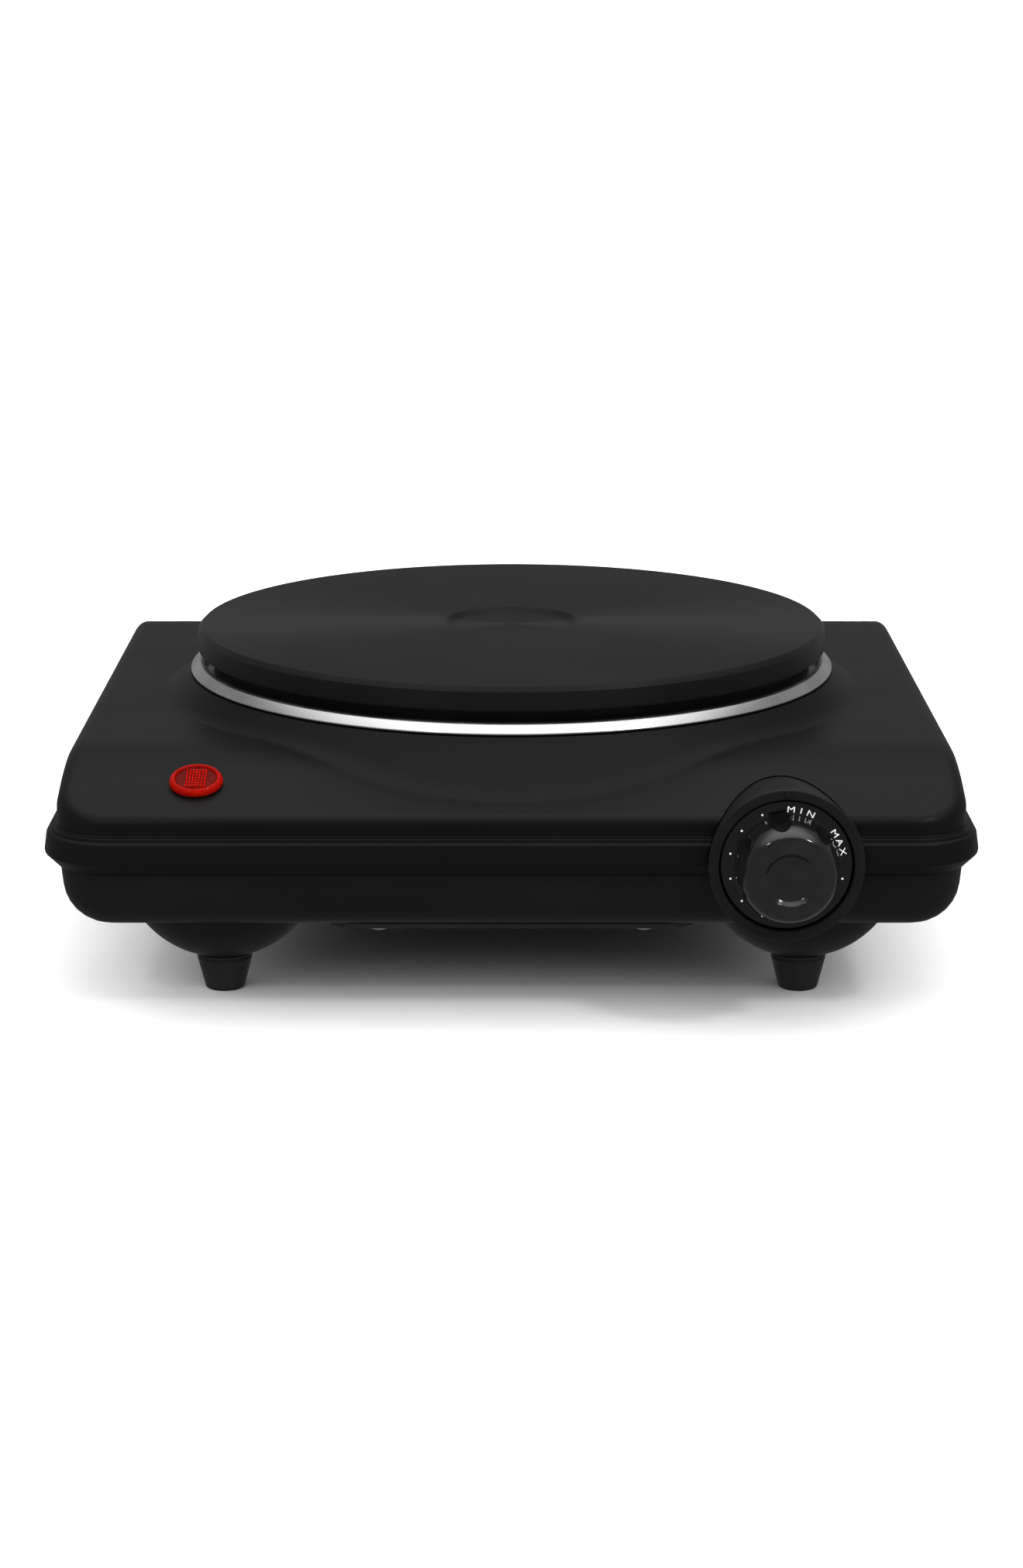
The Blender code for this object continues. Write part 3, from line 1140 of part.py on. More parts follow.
def load_route(tag):
    """Bimetal strip's terminal, up to the near end of the thermal cut-out."""
    reach = sum(stack_levels()[1]) / 2
    end = CUTOUT_X + CUTOUT_HALF_LENGTH + 2 * GAP
    return [
        (tag, -reach, KNOB_Z), (tag - 0.004, -reach, KNOB_Z), (tag - 0.012, 0.004 - reach, KNOB_Z),
        (tag - 0.030, 0.020 - reach, KNOB_Z + 0.003), (tag - 0.050, 0.034 - reach, CUTOUT_Z - 0.009),
        (end + 0.011, CUTOUT_Y - 0.004, CUTOUT_Z - 0.004), (end + 0.005, CUTOUT_Y, CUTOUT_Z),
        (end, CUTOUT_Y, CUTOUT_Z)]


def element_route():
    """Thermal cut-out's far end, round to the coil's outer end."""
    start = CUTOUT_X - CUTOUT_HALF_LENGTH - 2 * GAP
    low = LEAD_END_Z - 2 * GAP
    return [
        (start, CUTOUT_Y, CUTOUT_Z), (start - 0.005, CUTOUT_Y, CUTOUT_Z),
        (start - 0.009, CUTOUT_Y - 0.007, CUTOUT_Z - 0.002),
        (start - 0.002, CUTOUT_Y - 0.019, CUTOUT_Z - 0.007), (-0.020, 0.010 - COIL_OUTER, low - 0.010),
        (-0.006, 0.001 - COIL_OUTER, low - 0.011), (0.0, -COIL_OUTER, low - 0.006), (0.0, -COIL_OUTER, low)]


def return_route(block_front, floor):
    """Coil's inner end, back to the terminal block's left pole."""
    x = BLOCK_PLACE.x - TERMINAL_PITCH / 2
    bore = BLOCK_PLACE.z + TERMINAL_BORE_Z
    low = LEAD_END_Z - 2 * GAP
    return [
        (x, BLOCK_PLACE.y, bore), (x, block_front, bore), (x, block_front - 0.018, floor),
        (-0.058, 0.010, floor + 0.001), (-0.030, 0.020 - COIL_INNER, (floor + low) / 2),
        (-0.006, 0.006 - COIL_INNER, low - 0.010), (0.0, -COIL_INNER, low - 0.006), (0.0, -COIL_INNER, low)]


def internal_wires(white, black, axis):
    """Sleeved leads from the terminal block to the thermostat, cut-out and coil."""
    floor = PAN_FLOOR_Z + 0.0030
    tag = KNOB_X + STACK_LEFT - TAG_LENGTH - 2 * GAP
    block_front = BLOCK_PLACE.y - BLOCK_SIZE.y / 2 - 0.002
    tube("line_wire", smooth_route(line_route(tag, block_front, floor)), WIRE_RADIUS, black, axis)
    tube("load_wire", smooth_route(load_route(tag)), WIRE_RADIUS, white, axis)
    tube("element_wire", smooth_route(element_route()), WIRE_RADIUS, white, axis)
    tube("return_wire", smooth_route(return_route(block_front, floor)), WIRE_RADIUS, black, axis)


def main():
    clear_scene()
    black = material("housing_black", (0.022, 0.022, 0.023), 0.42)
    gloss = material("knob_gloss", (0.010, 0.010, 0.011), 0.18)
    plastic = material("foot_plastic", (0.030, 0.030, 0.031), 0.50)
    iron = material("cast_iron", (0.020, 0.020, 0.020), 0.62, 0.2)
    chrome = material("chrome", (0.80, 0.80, 0.80), 0.12, 1.0)
    steel = material("zinc_steel", (0.55, 0.55, 0.54), 0.38, 1.0)
    bright = material("aluminised_sheet", (0.70, 0.70, 0.70), 0.32, 1.0)
    brass = material("brass", (0.70, 0.52, 0.22), 0.32, 1.0)
    bimetal = material("bimetal", (0.52, 0.46, 0.40), 0.36, 1.0)
    ceramic = material("ceramic", (0.82, 0.79, 0.72), 0.55)
    mineral = material("pressed_mineral", (0.66, 0.64, 0.60), 0.90)
    sheath = material("element_sheath", (0.20, 0.19, 0.18), 0.45, 0.9)
    red = material("pilot_red", (0.62, 0.015, 0.004), 0.12)
    glass = material("lamp_glass", (0.85, 0.70, 0.60), 0.10)
    white_sleeve = material("sleeve_white", (0.75, 0.74, 0.71), 0.60)
    black_sleeve = material("sleeve_black", (0.035, 0.035, 0.035), 0.55)

    axis = empty("plate_axis", (0.0, PLATE_Y, 0.0))
    knob_axis = empty("knob_axis", (KNOB_X, 0.0, KNOB_Z), (radians(90), 0.0, 0.0), axis)
    tilt = (atan(FRONT_SLOPE), 0.0, 0.0)
    pilot_axis = empty("pilot_axis", (-PILOT_X, -PILOT_Y, deck_height(-PILOT_Y)), tilt, axis)

    upper_housing(black, axis, knob_axis, pilot_axis)
    lower_housing(black, axis, knob_axis)
    bottom_cover(plastic, axis)
    hot_plate(iron, axis)
    trim_ring(chrome, axis)
    heating_coil(sheath, axis)
    insulation_disc(mineral, axis)
    element_cover(steel, axis)
    heat_reflector(bright, axis)
    coil_beads(ceramic, axis)
    plate_stud(steel, axis)
    plate_bridge(steel, axis)
    spring_washer(steel, axis)
    plate_nut(steel, axis)
    feet(plastic, axis)
    screws(steel, axis)

    knob_bezel(black, knob_axis)
    control_knob(gloss, knob_axis)
    knob_clip(steel, knob_axis)
    thermostat_bush(brass, knob_axis)
    thermostat_spindle(steel, knob_axis)
    thermostat_bracket(steel, knob_axis)
    bracket_screws(steel, knob_axis)
    adjusting_plunger(ceramic, knob_axis)
    contact_stack(ceramic, brass, bimetal, steel, knob_axis)

    pilot_lens(red, pilot_axis)
    pilot_lamp(glass, pilot_axis)
    pilot_clip(steel, pilot_axis)
    terminal_block(ceramic, axis)
    terminal_screws(brass, axis)
    cord_gland(black, axis)
    thermal_cutout(bright, axis)
    internal_wires(white_sleeve, black_sleeve, axis)


main()
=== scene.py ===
"""Looks of the hot plate burner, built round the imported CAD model.

Units are metres in the CAD's own frame: +Z is up, the front faces -Y and the origin is on the floor. The
outer skins are remade at a fine resolution from the CAD's sizes, each in the place of its CAD node, and
every other CAD node keeps its mesh and gets a finished material.
"""

import json
from math import atan, cos, hypot, pi, radians, sin, sqrt, tan

import bmesh
import bpy
from mathutils import Matrix, Vector

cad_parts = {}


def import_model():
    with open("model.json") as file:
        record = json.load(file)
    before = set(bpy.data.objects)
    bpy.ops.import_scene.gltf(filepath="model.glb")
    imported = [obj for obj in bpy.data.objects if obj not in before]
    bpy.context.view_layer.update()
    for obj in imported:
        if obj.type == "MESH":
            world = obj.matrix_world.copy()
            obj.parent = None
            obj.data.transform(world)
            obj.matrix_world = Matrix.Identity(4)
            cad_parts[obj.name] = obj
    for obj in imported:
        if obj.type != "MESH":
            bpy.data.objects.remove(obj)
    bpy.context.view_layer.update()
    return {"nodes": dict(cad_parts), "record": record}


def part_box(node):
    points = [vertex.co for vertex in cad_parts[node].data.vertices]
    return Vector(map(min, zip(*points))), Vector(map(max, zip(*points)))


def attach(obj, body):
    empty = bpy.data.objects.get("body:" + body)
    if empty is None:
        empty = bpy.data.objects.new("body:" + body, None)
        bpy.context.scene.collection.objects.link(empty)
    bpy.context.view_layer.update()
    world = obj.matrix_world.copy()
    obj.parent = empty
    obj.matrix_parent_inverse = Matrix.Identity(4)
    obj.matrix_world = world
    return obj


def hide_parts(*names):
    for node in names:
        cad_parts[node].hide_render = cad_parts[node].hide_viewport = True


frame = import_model()

# ---- sizes read from the frame ---------------------------------------------------------------------
PLATE_LOW, PLATE_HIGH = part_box("hot_plate")
SHELL_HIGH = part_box("upper_housing")[1]
RING_LOW, RING_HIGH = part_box("trim_ring")
BEZEL_LOW, BEZEL_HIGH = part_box("knob_bezel")
KNOB_LOW, KNOB_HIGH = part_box("control_knob")
COVER_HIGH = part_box("bottom_cover")[1]
FOOT_LOW, FOOT_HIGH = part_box("foot_1")
LENS_LOW, LENS_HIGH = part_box("pilot_lens")
PLATE_Y = (PLATE_LOW.y + PLATE_HIGH.y) / 2
PLATE_TOP = PLATE_HIGH.z
PLATE_RADIUS = (PLATE_HIGH.x - PLATE_LOW.x) / 2

# ---- sizes shared with the CAD ---------------------------------------------------------------------
GAP = 0.0003
SHEET = 0.0012
FLANGE_REACH = 0.0036
HALF_WIDTH = SHELL_HIGH.x - FLANGE_REACH
HALF_DEPTH = SHELL_HIGH.y - FLANGE_REACH - PLATE_Y
CORNER_RADIUS = 0.0152
DECK_Z = PLATE_TOP - 0.0189
COLLAR_Z = PLATE_TOP - 0.0133
COLLAR_RADIUS = PLATE_RADIUS + 0.0025
COLLAR_FILLET = 0.0025
HOLE_RADIUS = PLATE_RADIUS - 0.0005
FRONT_FOLD_Y = HALF_DEPTH - 0.0325
FRONT_SLOPE = 0.335
FRONT_FOLD_HALF = 0.0110
REAR_FOLD_Y = HALF_DEPTH - 0.0244
REAR_SLOPE = 0.447
REAR_FOLD_HALF = 0.0040
FRONT_EDGE_RADIUS = 0.0022
SIDE_EDGE_RADIUS = 0.0045
FLANGE_TOP = DECK_Z - 0.0159
FLANGE_BOTTOM = FLANGE_TOP - 0.0068
SEAM_Z = FLANGE_BOTTOM - 0.0036
PAN_INSET = 0.0006
PAN_TAPER = 0.0016
PAN_BOTTOM_Z = COVER_HIGH.z + GAP
PAN_EDGE_RADIUS = 0.0120
SERVICE_HALF_X = 0.0440
SERVICE_HALF_Y = HALF_DEPTH - 0.0285
SERVICE_CORNER = 0.0100
DOME_RADIUS = 0.0282
FOOT_TOP = FOOT_HIGH.z
DOME_FLOOR = FOOT_TOP + GAP
DOME_CENTRE_Z = DOME_FLOOR - 0.0012 + DOME_RADIUS
FOOT_X = (FOOT_LOW.x + FOOT_HIGH.x) / 2
FOOT_Y = (FOOT_LOW.y + FOOT_HIGH.y) / 2
FEET = [(side * FOOT_X, PLATE_Y + end * (FOOT_Y - PLATE_Y)) for end in (1, -1) for side in (1, -1)]

KNOB_X = (KNOB_LOW.x + KNOB_HIGH.x) / 2
KNOB_Z = (BEZEL_LOW.z + BEZEL_HIGH.z) / 2
BEZEL_RADIUS = (BEZEL_HIGH.x - BEZEL_LOW.x) / 2
POINTER_HEIGHT = 0.0006
BEZEL_FRONT = BEZEL_LOW.y + POINTER_HEIGHT
BEZEL_BACK = BEZEL_HIGH.y
BEZEL_REAR_RADIUS = BEZEL_RADIUS - 0.0033
WELL_RADIUS = BEZEL_RADIUS - 0.0030
WELL_DEPTH = 0.0065
SKIRT_RADIUS = (KNOB_HIGH.x - KNOB_LOW.x) / 2
SKIRT_RECESS = 0.0009
SKIRT_THICKNESS = 0.0034
GRIP_RADIUS = SKIRT_RADIUS - 0.0034
FACE_RADIUS = 0.0070
SCALLOPS = 7
SCALLOP_DEPTH = 0.0028
SCALLOP_WIDTH = radians(11.5)
SCALLOP_START = radians(-9.4)
SCALLOP_FULL = 0.48         # shares of the grip's height where a scallop starts to close, and where it ends
SCALLOP_END = 0.86
SHOULDER_START = 0.25       # share of the grip's height where its shoulder starts
WALL_STEPS = 24
SHOULDER_STEPS = 28
WALL_TAPER = 0.0003
BROW_INSET = 0.0036         # crest inside the grip's foot
CREST_DROP = 0.0016         # crest behind the dish's rim
MARK_RADIUS = 0.0152        # ring that the dial's print stands on
LETTER_HEIGHT = 0.0016
LETTER_STRETCH = 1.3        # letters are wider than the font's
LETTER_PITCH = 0.0027
LETTER_CAP_SHARE = 0.69     # capital's height as a share of the font's size
PRINT_DEPTH = 0.00003
WORDS = (("MIN", radians(13.5)), ("MAX", radians(65.5)))
DOT_RADIUS = 0.00028
DOT_PITCH = radians(26)
DOT_STEPS = (-6, -5, -4, -3, -2, -1, 4)
PILOT_X = (LENS_LOW.x + LENS_HIGH.x) / 2
PILOT_Y = PLATE_Y - HALF_DEPTH + 0.0163
LENS_RADIUS = 0.0072
LENS_HEIGHT = 0.0026
LENS_SHANK = 0.0055

# ---- resolution ------------------------------------------------------------------------------------
CORNER_STEPS = 20
SIDE_STEPS = 60
ROUND = 256
SMALL_ROUND = 96
ARC_STEP = radians(12)
SMOOTH_ANGLE = radians(32)


# ---- mesh helpers ----------------------------------------------------------------------------------
def join_rings(bm, first, second):
    """Bridges two rings of the same count, or a ring and a pole."""
    count = max(len(first), len(second))
    for step in range(count):
        after = (step + 1) % count
        if len(first) == 1:
            bm.faces.new((first[0], second[step], second[after]))
        elif len(second) == 1:
            bm.faces.new((first[step], second[0], first[after]))
        else:
            bm.faces.new((first[step], second[step], second[after], first[after]))


def finished(bm, name):
    """Smooth-shaded mesh with its faces out and its sharp edges marked."""
    bmesh.ops.recalc_face_normals(bm, faces=bm.faces)
    mesh = bpy.data.meshes.new(name)
    bm.to_mesh(mesh)
    bm.free()
    mesh.shade_smooth()
    mesh.set_sharp_from_angle(angle=SMOOTH_ANGLE)
    return mesh


def placed(name, mesh, matrix=None):
    obj = bpy.data.objects.new(name, mesh)
    if matrix is not None:
        obj.matrix_world = matrix
    bpy.context.scene.collection.objects.link(obj)
    return obj


def rounded_chain(corners, closed=False):
    """Points along a chain of (across, up, radius) corners, each rounded to its radius by an arc."""
    points = [Vector(corner[:2]) for corner in corners]
    count = len(points)
    chain = []
    for index, (point, corner) in enumerate(zip(points, corners)):
        radius = corner[2]
        if radius == 0.0 or (not closed and index in (0, count - 1)):
            chain.append(tuple(point))
            continue
        before = (points[index - 1] - point)
        after = (points[(index + 1) % count] - point)
        half = before.angle(after) / 2
        reach = min(radius / tan(half), 0.98 * before.length, 0.98 * after.length)
        radius = reach * tan(half)
        centre = point + (before.normalized() + after.normalized()).normalized() * radius / sin(half)
        start = point + before.normalized() * reach - centre
        sweep = start.angle_signed(point + after.normalized() * reach - centre)
        steps = max(2, int(abs(sweep) / ARC_STEP + 0.5))
        for step in range(steps + 1):
            turned = Matrix.Rotation(-sweep * step / steps, 2) @ start
            chain.append(tuple(centre + turned))
    return chain


def add_lathe(bm, profile, segments, place=None):
    """Revolves (radius, height) points about Z; a point on the axis is a pole, or else the outline closes."""
    place = place or Matrix()
    rings = []
    for radius, height in profile:
        if radius <= 1e-9:
            rings.append([bm.verts.new(place @ Vector((0.0, 0.0, height)))])
            continue
        angles = [2 * pi * step / segments for step in range(segments)]
        spots = [Vector((radius * cos(angle), radius * sin(angle), height)) for angle in angles]
        rings.append([bm.verts.new(place @ spot) for spot in spots])
    pairs = list(zip(rings, rings[1:]))
    if len(rings[0]) > 1 and len(rings[-1]) > 1:
        pairs.append((rings[-1], rings[0]))
    for lower, upper in pairs:
        join_rings(bm, lower, upper)


def lathe(name, profile, segments, matrix=None):
    bm = bmesh.new()
    add_lathe(bm, profile, segments)
    return placed(name, finished(bm, name), matrix)


def combine(target, other, operation):
    """Applies an exact Boolean and removes its other operand."""
    step = target.modifiers.new(other.name, "BOOLEAN")
    step.operation = operation
    step.solver = "EXACT"
    step.object = other
    bpy.context.view_layer.update()
    evaluated = target.evaluated_get(bpy.context.evaluated_depsgraph_get())
    mesh = bpy.data.meshes.new_from_object(evaluated)
    target.modifiers.clear()
    target.data = mesh
    bpy.data.objects.remove(other)
    mesh.shade_smooth()
    mesh.set_sharp_from_angle(angle=SMOOTH_ANGLE)


def finish_piece(obj, body, slot_name, mat, *nodes):
    """Gives a piece its material and body, and hides the CAD nodes that it stands for; slot_name is not used.
    """
    obj.data.materials.clear()
    obj.data.materials.append(mat)
    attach(obj, body)
    if nodes:
        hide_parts(*nodes)
    return obj


# ---- outlines of the housings ----------------------------------------------------------------------
def rounded_outline(half_x, half_y, radius):
    """Points of a rounded rectangle, counter-clockwise, each with its outward normal."""
    corners = []
    for quarter, (side_x, side_y) in enumerate(((1, 1), (-1, 1), (-1, -1), (1, -1))):
        centre = Vector((side_x * (half_x - radius), side_y * (half_y - radius)))
        arc = []
        for step in range(CORNER_STEPS + 1):
            angle = radians(90 * quarter + 90 * step / CORNER_STEPS)
            normal = Vector((cos(angle), sin(angle)))
            arc.append((centre + radius * normal, normal))
        corners.append(arc)
    points = []
    for arc, following in zip(corners, corners[1:] + corners[:1]):
        points += arc
        start, normal = arc[-1]
        end = following[0][0]
        for step in range(1, SIDE_STEPS):
            points.append((start.lerp(end, step / SIDE_STEPS), normal))
    return points


def body_outline(offset):
    return rounded_outline(HALF_WIDTH + offset, HALF_DEPTH + offset, CORNER_RADIUS + offset)


def bend(distance, slope, half):
    """Drop beyond a fold: flat before it, slope after it, a parabola from -half to +half."""
    if distance <= -half:
        return 0.0
    if distance >= half:
        return slope * distance
    return slope * (distance + half) ** 2 / (4 * half)


def deck_height(y):
    front = bend(-y - FRONT_FOLD_Y, FRONT_SLOPE, FRONT_FOLD_HALF)
    rear = bend(y - REAR_FOLD_Y, REAR_SLOPE, REAR_FOLD_HALF)
    return DECK_Z - front - rear


def housing_height(x, y, sheet=0.0):
    """Height of the top skin, the higher of deck and collar with a fillet; sheet moves it inwards."""
    cone = COLLAR_Z - (hypot(x, y) - COLLAR_RADIUS) - sheet * sqrt(2)
    deck = deck_height(y) - sheet
    collar = min(cone, COLLAR_Z - sheet)
    overlap = max(COLLAR_FILLET - abs(deck - collar), 0.0) / COLLAR_FILLET
    return max(deck, collar) + overlap ** 2 * COLLAR_FILLET / 4


def edge_radius(normal):
    return FRONT_EDGE_RADIUS + (SIDE_EDGE_RADIUS - FRONT_EDGE_RADIUS) * normal.x ** 2


def collar_rows(sheet, count):
    """Circular rows from the opening outwards, over the collar to where the deck begins."""
    spokes = [point.normalized() for point, _ in body_outline(0.0)]
    end = COLLAR_RADIUS + COLLAR_Z - DECK_Z + 0.0065
    rows = [[(*(HOLE_RADIUS * spoke), COLLAR_Z - sheet) for spoke in spokes]]
    for step in range(count + 1):
        radius = COLLAR_RADIUS + (end - COLLAR_RADIUS) * step / count
        spots = [radius * spoke for spoke in spokes]
        rows.append([(*spot, housing_height(*spot, sheet)) for spot in spots])
    return rows, end


def deck_rows(sheet, start, count):
    """Rows from the collar's foot to the start of the shoulder's rounding."""
    rows = []
    outline = body_outline(-sheet)
    for step in range(1, count + 1):
        row = []
        for point, normal in outline:
            inset = point - (edge_radius(normal) - sheet) * normal
            spot = (start * point.normalized()).lerp(inset, step / count)
            row.append((*spot, housing_height(*spot, sheet)))
        rows.append(row)
    return rows


def edge_rows(sheet, count):
    """Rows round the shoulder, from the deck to the upright wall."""
    rows = []
    outline = body_outline(-sheet)
    for step in range(1, count + 1):
        angle = pi / 2 * step / count
        row = []
        for point, normal in outline:
            radius = edge_radius(normal) - sheet
            spot = point - radius * (1 - sin(angle)) * normal
            row.append((*spot, housing_height(*spot, sheet) - radius * (1 - cos(angle))))
        rows.append(row)
    return rows


def side_rows(corners):
    """Level rows along a rounded chain of (offset, height, radius) corners."""
    rows = []
    for offset, height in rounded_chain(corners):
        rows.append([(*point, height) for point, _ in body_outline(offset)])
    return rows


def add_grid(bm, rows):
    """Skins a stack of equal closed rows, the last joined back to the first."""
    rings = [[bm.verts.new((x, y + PLATE_Y, z)) for x, y, z in row] for row in rows]
    for lower, upper in zip(rings, rings[1:] + rings[:1]):
        join_rings(bm, lower, upper)


def to_front(x, z):
    """Matrix whose local Z runs forward from the plate's axis and whose local Y is up."""
    return Matrix.Translation((x, PLATE_Y, z)) @ Matrix.Rotation(radians(90), 4, "X")


def apron_matrix():
    """Matrix of the pilot light: local Z points out of the apron."""
    height = deck_height(PILOT_Y - PLATE_Y)
    return Matrix.Translation((PILOT_X, PILOT_Y, height)) @ Matrix.Rotation(atan(FRONT_SLOPE), 4, "X")


def knob_opening():
    """Tapered cutter that leaves the bezel its clearance in a housing."""
    length = BEZEL_BACK - BEZEL_FRONT
    taper = (BEZEL_RADIUS - BEZEL_REAR_RADIUS) / length
    front = PLATE_Y - BEZEL_FRONT + 0.010
    back = PLATE_Y - BEZEL_BACK - GAP
    wide = BEZEL_RADIUS + GAP + 0.010 * taper
    profile = [(0.0, back), (BEZEL_REAR_RADIUS + GAP, back), (wide, front), (0.0, front)]
    return lathe("knob_opening", profile, SMALL_ROUND, to_front(KNOB_X, KNOB_Z))


# ---- housings --------------------------------------------------------------------------------------
def upper_housing(mat):
    """Deck, collar, apron, shoulder and flange as one thin closed skin."""
    outer, foot = collar_rows(0.0, 22)
    outer += deck_rows(0.0, foot, 26)
    outer += edge_rows(0.0, 8)
    outer += side_rows([
        (0.0, FLANGE_TOP + 0.0020, 0.0), (0.0002, FLANGE_TOP, 0.0004), (0.0018, FLANGE_TOP - 0.0001, 0.0004),
        (0.0020, FLANGE_TOP - 0.0011, 0.0003), (0.0029, FLANGE_TOP - 0.0014, 0.0007),
        (FLANGE_REACH, FLANGE_BOTTOM + 0.0004, 0.0012), (0.0034, FLANGE_BOTTOM - 0.0004, 0.0004),
        (0.0002, SEAM_Z, 0.0)])
    inner, foot = collar_rows(SHEET, 8)
    inner += deck_rows(SHEET, foot, 6)
    inner += edge_rows(SHEET, 2)
    inner += side_rows([
        (0.0003 - SHEET, FLANGE_TOP, 0.0), (FLANGE_REACH - 2 * SHEET, FLANGE_TOP - 0.0030, 0.0),
        (FLANGE_REACH - SHEET, FLANGE_BOTTOM + 0.0004, 0.0), (0.0006 - SHEET, SEAM_Z + 0.0008, 0.0)])
    bm = bmesh.new()
    add_grid(bm, outer + inner[::-1])
    shell = placed("upper_housing_skin", finished(bm, "upper_housing_skin"))
    combine(shell, knob_opening(), "DIFFERENCE")
    hole = [(0.0, -0.006), (LENS_SHANK + GAP, -0.006), (LENS_SHANK + GAP, 0.006), (0.0, 0.006)]
    combine(shell, lathe("pilot_hole", hole, 48, apron_matrix()), "DIFFERENCE")
    finish_piece(shell, "body", "housing_black", mat, "upper_housing")


def service_row(height):
    outline = rounded_outline(SERVICE_HALF_X, SERVICE_HALF_Y, SERVICE_CORNER)
    return [(*point, height) for point, _ in outline]


def dome_profile(floor, top, sheet, count):
    """Cap of a sphere with a flat floor."""
    profile = [(0.0, floor)]
    for step in range(count + 1):
        height = floor + (top - floor) * step / count
        profile.append((sqrt((DOME_RADIUS - sheet) ** 2 - (height - DOME_CENTRE_Z) ** 2), height))
    return profile + [(0.0, top)]


def lower_housing(mat):
    """Pan with its rounded lower edge, service opening and the four hollow domes of the feet."""
    wall = -PAN_INSET - PAN_TAPER
    flat = wall - PAN_EDGE_RADIUS
    outer = side_rows([
        (-PAN_INSET, SEAM_Z - GAP, 0.0), (wall, PAN_BOTTOM_Z, PAN_EDGE_RADIUS), (flat, PAN_BOTTOM_Z, 0.0)])
    inner = side_rows([
        (-PAN_INSET - SHEET, SEAM_Z - GAP, 0.0),
        (wall - SHEET, PAN_BOTTOM_Z + SHEET, PAN_EDGE_RADIUS - SHEET),
        (flat, PAN_BOTTOM_Z + SHEET, 0.0)])
    bm = bmesh.new()
    rows = outer + [service_row(PAN_BOTTOM_Z), service_row(PAN_BOTTOM_Z + SHEET)] + inner[::-1]
    add_grid(bm, rows)
    pan = placed("lower_housing_skin", finished(bm, "lower_housing_skin"))
    for x, y in FEET:
        place = Matrix.Translation((x, y, 0.0))
        dome = dome_profile(DOME_FLOOR, PAN_BOTTOM_Z + SHEET / 2, 0.0, 20)
        combine(pan, lathe("foot_dome", dome, SMALL_ROUND, place), "UNION")
        hollow = dome_profile(DOME_FLOOR + 0.0020, PAN_BOTTOM_Z + 0.0022, 0.0016, 8)
        combine(pan, lathe("dome_hollow", hollow, 48, place), "DIFFERENCE")
    combine(pan, knob_opening(), "DIFFERENCE")
    low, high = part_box("cord_gland")
    centre = (low + high) / 2
    hole = [(0.0, -0.030), (0.0057, -0.030), (0.0057, 0.012), (0.0, 0.012)]
    place = Matrix.Translation(centre) @ Matrix.Rotation(radians(-90), 4, "X")
    combine(pan, lathe("gland_hole", hole, 48, place), "DIFFERENCE")
    finish_piece(pan, "body", "housing_black", mat, "lower_housing")


# ---- hot plate -------------------------------------------------------------------------------------
def hot_plate(mat):
    top = PLATE_TOP
    rim = top - 0.0069
    skirt = PLATE_RADIUS - 0.0045
    low = PLATE_LOW.z
    profile = rounded_chain([
        (0.0, top - 0.0012, 0.0), (0.0183, top - 0.0012, 0.0006), (0.0197, top, 0.0005),
        (PLATE_RADIUS - 0.0014, top, 0.0004), (PLATE_RADIUS, top - 0.0014, 0.0004),
        (PLATE_RADIUS, rim, 0.0007), (skirt, rim, 0.0004),
        (skirt, low, 0.0003), (skirt - 0.0037, low, 0.0), (skirt - 0.0037, top - 0.0052, 0.0),
        (0.0150, top - 0.0052, 0.0), (0.0150, low, 0.0), (0.0033, low, 0.0), (0.0033, top - 0.0062, 0.0),
        (0.0, top - 0.0062, 0.0)])
    plate = lathe("hot_plate_casting", profile, ROUND, Matrix.Translation((0.0, PLATE_Y, 0.0)))
    finish_piece(plate, "body", "cast_iron", mat, "hot_plate")


def trim_ring(mat):
    """Polished band that slopes up from the collar to the plate's skirt."""
    sheet = 0.0006
    foot = COLLAR_Z + GAP
    crest = foot + 0.0031
    outer = (RING_HIGH.x - RING_LOW.x) / 2
    inner = PLATE_RADIUS - 0.0011
    low = RING_LOW.z
    seat = PLATE_RADIUS - 0.0075
    profile = rounded_chain([
        (outer, foot, 0.0002), (outer, foot + sheet, 0.0003), (inner + 0.0010, crest, 0.0016),
        (inner - sheet, crest - 0.0002, 0.0003), (inner - sheet, low + sheet, 0.0), (seat, low + sheet, 0.0),
        (seat, low, 0.0), (inner, low, 0.0), (inner, crest - sheet - 0.0006, 0.0)], closed=True)
    ring = lathe("trim_ring_band", profile, ROUND, Matrix.Translation((0.0, PLATE_Y, 0.0)))
    finish_piece(ring, "body", "chrome", mat, "trim_ring")


# ---- feet ------------------------------------------------------------------------------------------
def feet(mat):
    """Tapered feet with a fine lip under the dome and a counterbore for the screw."""
    profile = rounded_chain([
        (0.0034, 0.0, 0.0), (0.0054, 0.0, 0.0007), (0.0076, FOOT_TOP - 0.0016, 0.0002),
        (0.0073, FOOT_TOP - 0.0011, 0.0001), (0.0078, FOOT_TOP - 0.0008, 0.0002), (0.0078, FOOT_TOP, 0.0002),
        (0.0021, FOOT_TOP, 0.0), (0.0021, 0.0058, 0.0), (0.0034, 0.0058, 0.0)], closed=True)
    for number, (x, y) in enumerate(FEET, 1):
        foot = lathe(f"tapered_foot_{number}", profile, SMALL_ROUND, Matrix.Translation((x, y, 0.0)))
        finish_piece(foot, "body", "foot_plastic", mat, f"foot_{number}")


# ---- control ---------------------------------------------------------------------------------------
def reach(y):
    """Distance of a place in front of the plate's axis."""
    return PLATE_Y - y


